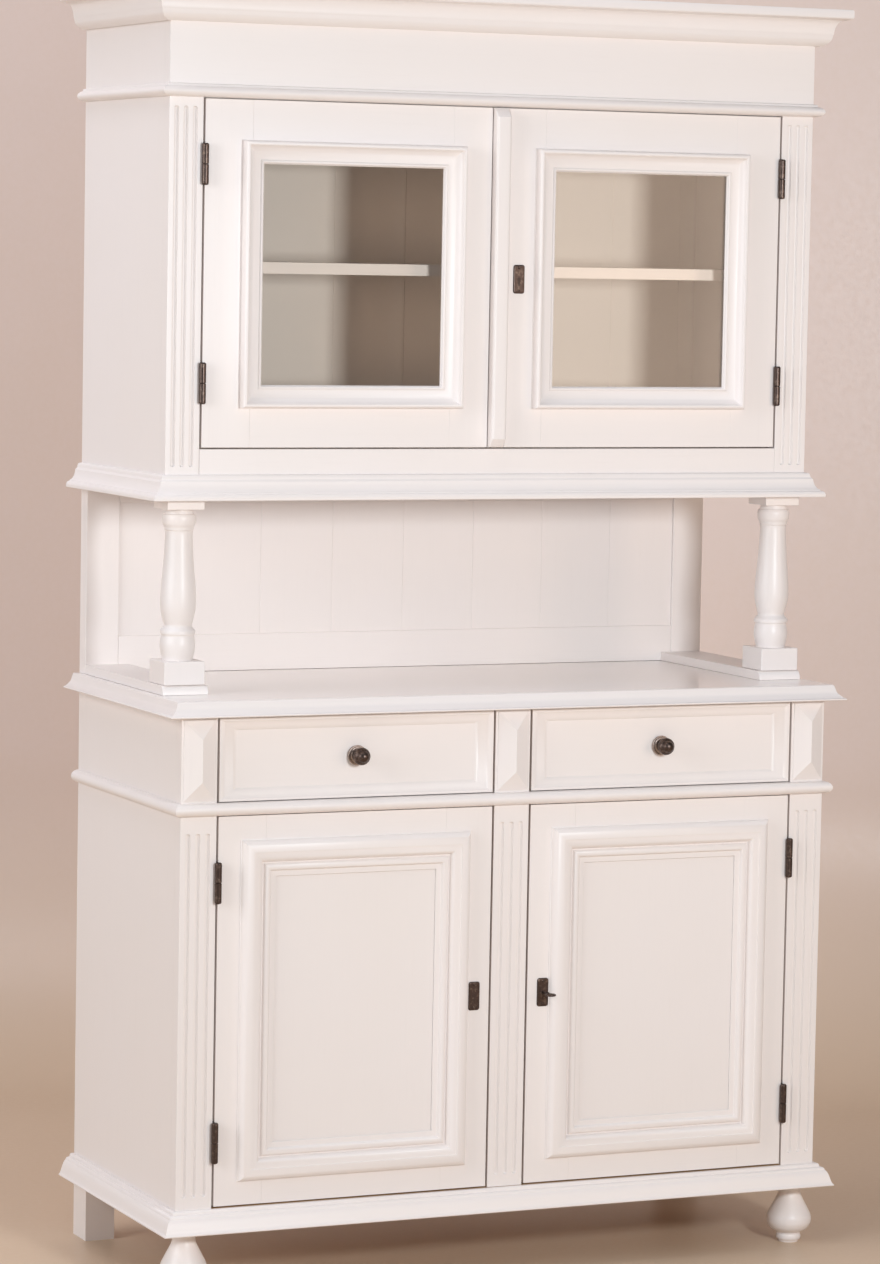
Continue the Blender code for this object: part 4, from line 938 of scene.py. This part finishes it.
def lowerDoor(name):
    # the frame, and a raised moulding mitred round the panel
    prefix = "lower_" + name
    low, high = span(prefix + "_door_panel")
    stile = lowerDoorLook["stile"] * mm
    topRoom = lowerDoorLook["topRoom"] * mm
    x0, x1 = low[0] - seat - stile, high[0] + seat + stile
    z0, z1 = low[2] - seat - stile, high[2] + seat + stile + topRoom
    opening = (x0 + stile, x1 - stile, z0 + stile, z1 - stile - topRoom)
    shells = framed((x0, x1, z0, z1), opening, baseFront)
    rise = lowerDoorLook["mouldingRise"]
    moulding = profileOf(
        line((0.0, -1.0), (0.0, 1.6), (1.2, 1.9)),
        bend((18.8, 1.9), (17.4, rise - 1.9), 174, 92, 12),
        line((19.6, rise), (20.4, rise - 0.2), (20.8, rise - 1.5)),
        bend((21.0, 3.6), (14.6, rise - 5.2), 86, 8, 10),
        line((35.8, 3.2), (36.6, 1.4), (38.6, 1.2)),
        bend((44.8, 1.6), (5.6, 4.4), 172, 8, 10),
        line((51.2, 1.2), (52.4, 1.0), (59.2, 0.6), (60.0, -0.2), (60.0, -1.0)),
    ) * mm
    start = lowerDoorLook["mouldingStart"] * mm
    around = (x0 + start, x1 - start, z0 + start, z1 - start)
    shells.append(ringFrame(moulding, around, baseFront, (2, 0, 2, 0)))
    makePiece(name + "LowerDoor", shells, paints, prefix + "_door", [prefix + "_door_frame"])
    dress(prefix + "_door_panel", paintUpright)


def upperDoor(name, side):
    # the frame, a moulding mitred round the pane, and the beads that hold it from behind
    prefix = "upper_" + name
    low, high = span(prefix + "_glass")
    opening = (low[0] - seat, high[0] + seat, low[2] - seat, high[2] + seat)
    stiles = (upperDoorLook["hingeStile"] * mm, upperDoorLook[name + "Stile"] * mm)[::-side]
    z0, z1 = levels(prefix + "_door_frame")
    rect = (opening[0] - stiles[0], opening[1] + stiles[1], z0, z1 + upperDoorLook["topRoom"] * mm)
    shells = framed(rect, opening, upperFront)
    rise = upperDoorLook["mouldingRise"]
    moulding = profileOf(
        line((0.0, -1.0), (0.0, 2.0), (0.9, 2.2)),
        bend((4.6, rise * 0.52), (3.9, rise * 0.48), 206, 96, 10),
        line((5.6, rise), (6.8, rise - 0.2), (7.3, rise - 1.6)),
        bend((30.4, rise - 0.4), (22.6, rise - 4.4), 186, 264, 12),
        line((29.6, 3.9)),
        bend((32.6, 3.2), (2.6, 2.9), 158, 8, 8),
        line((35.6, 2.6), (36.5, 1.4), (36.5, -1.0)),
    ) * mm
    inset = upperDoorLook["mouldingInset"] * mm
    around = (opening[0] - inset, opening[1] + inset, opening[2] - inset, opening[3] + inset)
    shells.append(ringFrame(moulding, around, upperFront, (2, 0, 2, 0)))
    beadFront = high[1] + seat
    bead = upperDoorLook["bead"] * mm
    beadProfile = profileOf(
        line((0.0, 0.0), (0.0, -bead), (bead * 0.35, -bead)),
        bend((bead * 0.35, -bead * 0.45), (bead * 0.62, bead * 0.55), -88, -4, 6),
        line((bead, 0.0)),
    )
    shells.append(ringFrame(beadProfile, opening, beadFront, (2, 0, 2, 0)))
    makePiece(name + "UpperDoor", shells, paints, prefix + "_door", [prefix + "_door_frame"])
    dress(prefix + "_glass", clearGlass)


def meetingStrip():
    # a flat-faced section carried upright, lower at both ends
    (x0, front, z0), (x1, face, z1) = span("meeting_strip")
    width = x1 - x0
    rise = face - front
    across = profileOf(
        line((0, 0), (width, 0), (width, rise - 0.0110)),
        bend((width - 0.0062, rise - 0.0110), (0.0062, 0.0108), 4, 84, 9),
        line((width - 0.0085, rise), (0.0050, rise)),
        bend((0.0040, rise - 0.0050), (0.0040, 0.0050), 96, 178, 7),
    )
    slope = 12.5 * mm
    rows = []
    for z, share in ((z0, 0.3), (z0 + slope, 1.0), (z1 - slope, 1.0), (z1, 0.3)):
        height = np.minimum(across[:, 1], rise) * np.where(across[:, 1] > 0.001, share, 1.0)
        rows.append(np.stack([x0 + across[:, 0], face - height, np.full(len(across), z)], -1))
    shell = gridShell(np.stack(rows, 0), wrapColumns=True, capRows=True, finish=2)
    makePiece("meetingStrip", [shell], paints, "upper_right_door", ["meeting_strip"])


for name, side in sides:
    lowerDoor(name)
    upperDoor(name, side)
meetingStrip()
print("doors ready")


# Drawers

drawerLook = {"rim": 4.0, "side": 31.0, "end": 20.0, "sink": 8.5, "lowRoom": 1.4}


def drawerFront(name):
    # rectangles that shrink as they sink from the rim to the field
    low, high = span(name + "_drawer_front")
    sink = drawerLook["sink"] * mm
    rim = drawerLook["rim"] * mm
    across = (drawerLook["side"] - drawerLook["rim"]) * mm
    up = (drawerLook["end"] - drawerLook["rim"]) * mm
    share = np.linspace(0, 1, 9)
    slope = share + np.sin(share * 2 * pi) * 0.05
    rings = [
        (0, 0, high[1]), (0, 0, low[1] + 0.0008), (0.0003, 0.0003, low[1] + 0.0002),
        (0.0009, 0.0009, low[1]), (rim, rim, low[1]),
    ]
    rings += [(rim + across * s, rim + up * s, low[1] + sink * k) for s, k in zip(share[1:], slope[1:])]
    rect = (low[0], high[0], low[2] - drawerLook["lowRoom"] * mm, high[2])
    drawer = name + "_drawer"
    makePiece(name + "DrawerFront", [nested(rings, rect)], paints, drawer, [drawer + "_front"])


def knob(name):
    # a turned knob on its round plate; the plate's paler brass is a painted highlight, the light the plate
    # catches
    low, high = span(name + "_drawer_knob")
    x, z = (low + high)[[0, 2]] / 2
    back = high[1]
    plate = profileOf(
        line((0, 0), (15.6, 0), (16.0, 0.5)),
        bend((14.6, 0.9), (1.4, 1.1), 0, 80, 4),
        line((13.2, 1.9), (12.4, 1.6), (11.4, 1.9), (10.2, 2.9), (8.4, 2.6), (7.4, 3.0), (0, 3.0)),
    ) * mm
    profile = profileOf(
        line((0, 2.4), (6.9, 2.4)),
        softened([(6.6, 3.6), (5.1, 5.4), (4.8, 8.0), (6.2, 10.4), (9.4, 12.0)], 4),
        line((10.2, 12.2)),
        bend((9.8, 18.6), (4.2, 6.2), -62, 62, 10),
        line((11.2, 25.2), (10.4, 25.6)),
        bend((0, 23.6), (10.2, 10.2), 14, 90, 10),
    ) * mm
    profile[:, 1] = np.minimum(profile[:, 1], back - low[1])
    shells = [turned(shape, (x, back, z), 1, 40, finish) for finish, shape in enumerate((profile, plate))]
    finishes = [agedBrass, litPlateBrass]
    makePiece(name + "Knob", shells, finishes, name + "_drawer", [name + "_drawer_knob"], 40)


for name, side in sides:
    drawerFront(name)
    knob(name)
    dress(name + "_drawer_box", woodDeep)
print("drawers ready")


# Hinges: the fixed half on the carcass, the other half on the door

hingeLook = {
    "radius": 5.5, "pin": 3.0, "halfGap": 0.15,
    "leafBack": 21.4, "fixedLeaf": 1.4, "doorLeaf": 1.6,
}


def barrel(x, y, bottom, top, cap, bore=0.0):
    # a turned barrel with eased ends; cap 1 rounds its top over, -1 its bottom
    radius = hingeLook["radius"] * mm
    ease = 0.8 * mm
    dome = 3 * mm
    low = line((bore, bottom), (radius - ease, bottom), (radius, bottom + ease))
    high = line((radius, top - ease), (radius - ease, top), (bore, top))
    if cap > 0:
        high = profileOf(bend((radius - dome, top - dome), (dome, dome), 0, 85, 5), line((bore, top)))
    if cap < 0:
        low = profileOf(line((bore, bottom)), bend((radius - dome, bottom + dome), (dome, dome), -85, 0, 5))
    return turned(profileOf(low, high), (x, y, 0), steps=24)


def hinges(row, name, side, end):
    # makes the fixed half and returns the shells of the door's half
    node = row + "_" + name + "_" + end + "_hinge"
    bottom, top = levels(node)
    middle = (bottom + top) / 2
    face = baseFront if row == "lower" else upperFront
    x, y = pivot(row + "_" + name + "_door_swing")[:2]
    gap = hingeLook["halfGap"] * mm
    pin = hingeLook["pin"] * mm
    pinLow, pinTop = middle - 2 * mm, top - 2.8 * mm
    leafFront = y + 4.2 * mm
    leafBack = face + hingeLook["leafBack"] * mm
    wall = 0.25 * mm  # between the pin's middle line and a leaf
    ends = sorted((x + side * wall, x + side * hingeLook["fixedLeaf"] * mm))
    fixed = [
        barrel(x, y, bottom, middle - gap, -1),
        turned(line((0, pinLow), (pin, pinLow), (pin, pinTop), (0, pinTop)), (x, y, 0), steps=16),
        board((ends[0], leafFront, bottom), (ends[1], leafBack, top), 0.2, 1),
        board((ends[0], leafFront, bottom + 2 * mm), (ends[1], face + 2 * mm, pinLow), 0.2, 1),
    ]
    piece = name + row.title() + end.title() + "Hinge"
    makePiece(piece, fixed, [agedBrass], "carcass", [node], 40)
    ends = sorted((x - side * wall, x - side * hingeLook["doorLeaf"] * mm))
    leaf = board((ends[0], leafFront, bottom), (ends[1], leafBack, top), 0.2, 1)
    return [barrel(x, y, middle + gap, top, 1, pin + seat), leaf]


for row in ("lower", "upper"):
    for name, side in sides:
        loose = hinges(row, name, side, "bottom") + hinges(row, name, side, "top")
        door = row + "_" + name + "_door"
        makePiece(name + row.title() + "DoorHinges", loose, [agedBrass], door, (), 40)
print("hinges ready")


# Locks and key

lockLook = {
    "width": 19.5, "height": 46.0, "thick": 2.0, "corner": 4.0,
    "screw": 2.3, "screwOff": 18.5, "upperOff": 48.8,
}


def escutcheon(x, y, z):
    # a domed plate: rings of a rounded rectangle shrink as they come forward; the keyhole is sunk in it
    half = np.array((lockLook["width"], lockLook["height"])) / 2 * mm
    corner = lockLook["corner"] * mm
    quarter = np.linspace(0, pi / 2, 7)
    angle = np.concatenate([quarter + k * pi / 2 for k in range(4)])
    signs = np.stack([np.repeat([1, -1, -1, 1], 7), np.repeat([1, 1, -1, -1], 7)], -1)
    ring = signs * (half - corner) + corner * np.stack([np.cos(angle), np.sin(angle)], -1)
    thick = lockLook["thick"] * mm
    steps = ((0, 0), (0, 0.45), (0.6, 0.8), (1.6, 1), (3.0, 0.96), (3.4, 0.72), (5.2, 0.70))
    rows = []
    for shrink, share in steps:  # mm inwards, and the share of the thickness
        shape = ring * (1 - shrink * mm / half)
        level = np.full(len(shape), y - share * thick)
        rows.append(np.stack([x + shape[:, 0], level, z + shape[:, 1]], -1))
    return gridShell(np.stack(rows, 0), wrapColumns=True, capRows=True)


def keyhole(x, y, z):
    # the dark slot: a round hole over a narrow drop, drawn as a thin sunk plug
    hole = bend((0, 0), (0.0030, 0.0030), -55, 235, 16)
    outline = profileOf(hole, line((-0.0015, -0.0110), (0.0015, -0.0110)))
    rows = []
    for level in (y, y - 1.6 * mm):
        rows.append(np.stack([x + outline[:, 0], np.full(len(outline), level), z + outline[:, 1]], -1))
    return gridShell(np.stack(rows, 0), wrapColumns=True, capRows=True, finish=1)


def screwHead(x, y, z, turn):
    # a low dome with a slot across it
    radius = lockLook["screw"] * mm
    profile = profileOf(line((0, 0), (radius, 0)), bend((0, 0), (radius, mm), 8, 88, 6))
    dome = turned(profile, (x, y, z), axis=1, steps=20)
    slot = board((-0.0021, -0.0012, -0.00028), (0.0021, -0.0006, 0.00028), 0.05, 1, 1)
    tilt = np.array(((cos(turn), 0, -sin(turn)), (0, 1, 0), (sin(turn), 0, cos(turn))))
    return [dome, (slot[0] @ tilt.T + np.array((x, y, z)), slot[1], slot[2])]


darkHole = brassFinish("keyhole_shadow", 0.6)


def lock(node, face, body, turn):
    # plate, keyhole and screws in front, the case behind
    low, high = span(node)
    z = (low[2] + high[2]) / 2
    keyX = pivot("key_turn")[0]
    x = {"lower_right_lock": keyX, "lower_left_lock": -keyX}.get(node, low[0] + lockLook["upperOff"] * mm)
    plate = face - seat
    head = plate - 1.4 * mm
    off = lockLook["screwOff"] * mm
    shells = [escutcheon(x, plate, z), keyhole(x, plate, z)]
    shells += screwHead(x, head, z + off, turn) + screwHead(x, head, z - off, turn + 1.1)
    shells.append(board((low[0], face + faceDepth + seat, low[2]), high, 0.8))
    makePiece(body + "Lock", shells, [agedBrass, darkHole], body, [node], 35)


lock("lower_left_lock", baseFront, "lower_left_door", 0.4)
lock("lower_right_lock", baseFront, "lower_right_door", 1.2)
lock("upper_right_lock", upperFront, "upper_right_door", 0.8)


keyLook = {"shank": 2.25, "bow": 7.5, "wire": 1.6}


def cabinetKey():
    # a ring bow, a turned shank with two collars, and the bit
    low, high = span("key")
    place = pivot("key_turn")
    x, z = place[0], place[2]
    bow = keyLook["bow"] * mm
    wire = keyLook["wire"] * mm
    centre = low[1] + bow + wire
    angle = np.linspace(0, 2 * pi, 36, endpoint=False)
    ring = np.stack([x + bow * np.cos(angle), centre + bow * np.sin(angle), np.full(36, z)], -1)
    shells = [closedTube(ring, wire, 14)]
    shank = keyLook["shank"]
    start = centre + bow
    length = (high[1] - start) / mm
    profile = profileOf(
        line((0, -0.8), (1.6, -0.8), (shank, 0.4), (shank, 1.6)),
        bend((shank - 0.2, 2.8), (1.4, 1.0), -70, 70, 6),
        line((shank, 4.0), (shank, 6.2)),
        bend((shank - 0.2, 7.0), (1.0, 0.7), -70, 70, 5),
        line((shank, 7.9), (shank, length - 0.4), (shank - 0.4, length), (0, length)),
    ) * mm
    profile[:, 1] *= -1
    shells.append(turned(profile, (x, start, z), axis=1, steps=20))
    bitBack = high[1] - seat
    shells.append(board((x - mm, bitBack - 4 * mm, low[2]), (x + mm, bitBack, z), 0.2, 1))
    makePiece("cabinetKey", shells, [agedBrass], "key", ["key"], 40)


cabinetKey()
for node in ("lower_left_lock_bolt", "lower_right_lock_bolt", "upper_right_lock_bolt"):
    dress(node, agedBrass)
print("locks ready")


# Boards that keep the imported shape

for node in ("left_base_side", "right_base_side", "left_upper_side", "right_upper_side"):
    dress(node, paintUpright)
for node in ("upper_bottom", "upper_shelf"):
    dress(node, paintLevel)
for node in ("base_bottom", "base_shelf", "dust_board"):
    dress(node, woodLevel)
dress("base_back", woodUpright)


# Floor and backdrop: one sheet that curves up behind the cabinet

stageLook = {
    "floor": (214, 190, 164), "wall": (226, 208, 198), "weaveDepth": 0.0004,
    "front": -9.0, "curveStart": 1.15, "curveRadius": 0.55, "top": 4.2, "reach": 8.0, "turn": -0.4214,
}


def stageFinish():
    made, shader, place = startFinish("studio_sheet")
    weave = noise(place, (90.0, 90.0, 90.0), 3.0, 0.6)
    clouds = noise(place, (1.3, 1.3, 1.3), 4.0, 0.6)
    height = place.node("ShaderNodeSeparateXYZ", None, {"Vector": place}, "Z")
    rise = (height * 1.6).clamped()
    body = rise.blend(colour(*stageLook["floor"]), colour(*stageLook["wall"]))
    stains = ((clouds - 0.4) * 0.5 + (weave - 0.4) * 0.25).clamped()
    body = stains.blend(body, colour(*stageLook["floor"]))
    feed(shader, "Base Color", body)
    feed(shader, "Roughness", weave * 0.2 + 0.3)
    bump(shader, weave, stageLook["weaveDepth"], 0.25)
    feed(shader, "Alpha", 1.0 - place.node("ShaderNodeNewGeometry", out="Backfacing"))  # clear from behind
    return made


def studioSheet():
    # the profile runs over the floor, round a quarter circle and up the wall, along x
    start = stageLook["curveStart"]
    radius = stageLook["curveRadius"]
    curve = bend((start, radius), (radius, radius), -90, 0, 24)
    floor = line((stageLook["front"], 0), (-2.0, 0), (0.0, 0))
    profile = profileOf(floor, curve, line((start + radius, stageLook["top"])))
    across = np.linspace(-stageLook["reach"], stageLook["reach"], 3)
    rows = [np.stack([np.full(len(profile), x), profile[:, 0], profile[:, 1]], -1) for x in across]
    shell = gridShell(np.stack(rows, 0))
    mesh = bpy.data.meshes.new("studioSheet")
    mesh.from_pydata(shell[0].tolist(), [], [face[::-1] for face in shell[1]])  # turned towards the room
    mesh.materials.append(stageFinish())
    mesh.shade_smooth()
    sheet = bpy.data.objects.new("studioSheet", mesh)
    bpy.context.scene.collection.objects.link(sheet)
    mesh.transform(Matrix.Rotation(stageLook["turn"], 4, "Z"))


studioSheet()


# Light and camera

lights = {
    "front": {
        "place": (0.09, -3.53, 1.62), "aim": (0.0, 0.0, 1.3), "size": 0.42,
        "power": 62.0, "tone": (0.894, 0.949, 1.0),
    },
    "window": {
        "place": (-4.6, -1.1, 2.2), "aim": (-0.3, 0.0, 1.0), "size": 2.6,
        "power": 111.0, "tone": (0.942, 0.965, 1.0),
    },
    "fill": {
        "place": (2.95, -4.5, 1.55), "aim": (0.0, 0.0, 1.2), "size": 1.8,
        "power": 36.5, "tone": (1.0, 0.756, 0.586),
    },
    "top": {
        "place": (-1.2, 0.2, 4.4), "aim": (-0.4, 1.4, 0.4), "size": 2.6,
        "power": 62.0, "tone": (0.95, 0.93, 1.0),
    },
}
airLook = {"tone": (0.74, 0.86, 1.0, 1.0), "strength": 0.163}


def addLight(name, look):
    data = bpy.data.lights.new(name, "AREA")
    data.shape = "SQUARE"
    data.size = look["size"]
    data.energy = look["power"]
    data.color = look["tone"]
    lamp = bpy.data.objects.new(name, data)
    place = Vector(look["place"])
    lamp.location = place
    lamp.rotation_euler = (Vector(look["aim"]) - place).to_track_quat("-Z", "Y").to_euler()
    lamp.visible_camera = False
    bpy.context.scene.collection.objects.link(lamp)


for name, look in lights.items():
    addLight(name, look)

world = bpy.data.worlds.new("studio_air")
bpy.context.scene.world = world
world.use_nodes = True
air = world.node_tree.nodes["Background"]
air.inputs["Color"].default_value = airLook["tone"]
air.inputs["Strength"].default_value = airLook["strength"]
bpy.context.scene.view_settings.view_transform = "Standard"

cameraLook = {
    "place": (-2.9625, -6.5338, 1.629),
    "yaw": 0.4214, "pitch": 0.0857, "roll": 0.0182, "lens": 125.17,
}


def photoCamera():
    yaw, pitch, roll = cameraLook["yaw"], cameraLook["pitch"], cameraLook["roll"]
    ahead = Vector((sin(yaw) * cos(pitch), cos(yaw) * cos(pitch), -sin(pitch)))
    level = Vector((cos(yaw), -sin(yaw), 0))
    above = level.cross(ahead)
    right = cos(roll) * level + sin(roll) * above
    up = -sin(roll) * level + cos(roll) * above
    data = bpy.data.cameras.new("photoCamera")
    data.lens = cameraLook["lens"]
    data.sensor_width = 36.0
    camera = bpy.data.objects.new("photoCamera", data)
    turn = Matrix((right, up, -ahead)).transposed().to_4x4()
    camera.matrix_world = Matrix.Translation(cameraLook["place"]) @ turn
    bpy.context.scene.collection.objects.link(camera)
    bpy.context.scene.camera = camera


photoCamera()
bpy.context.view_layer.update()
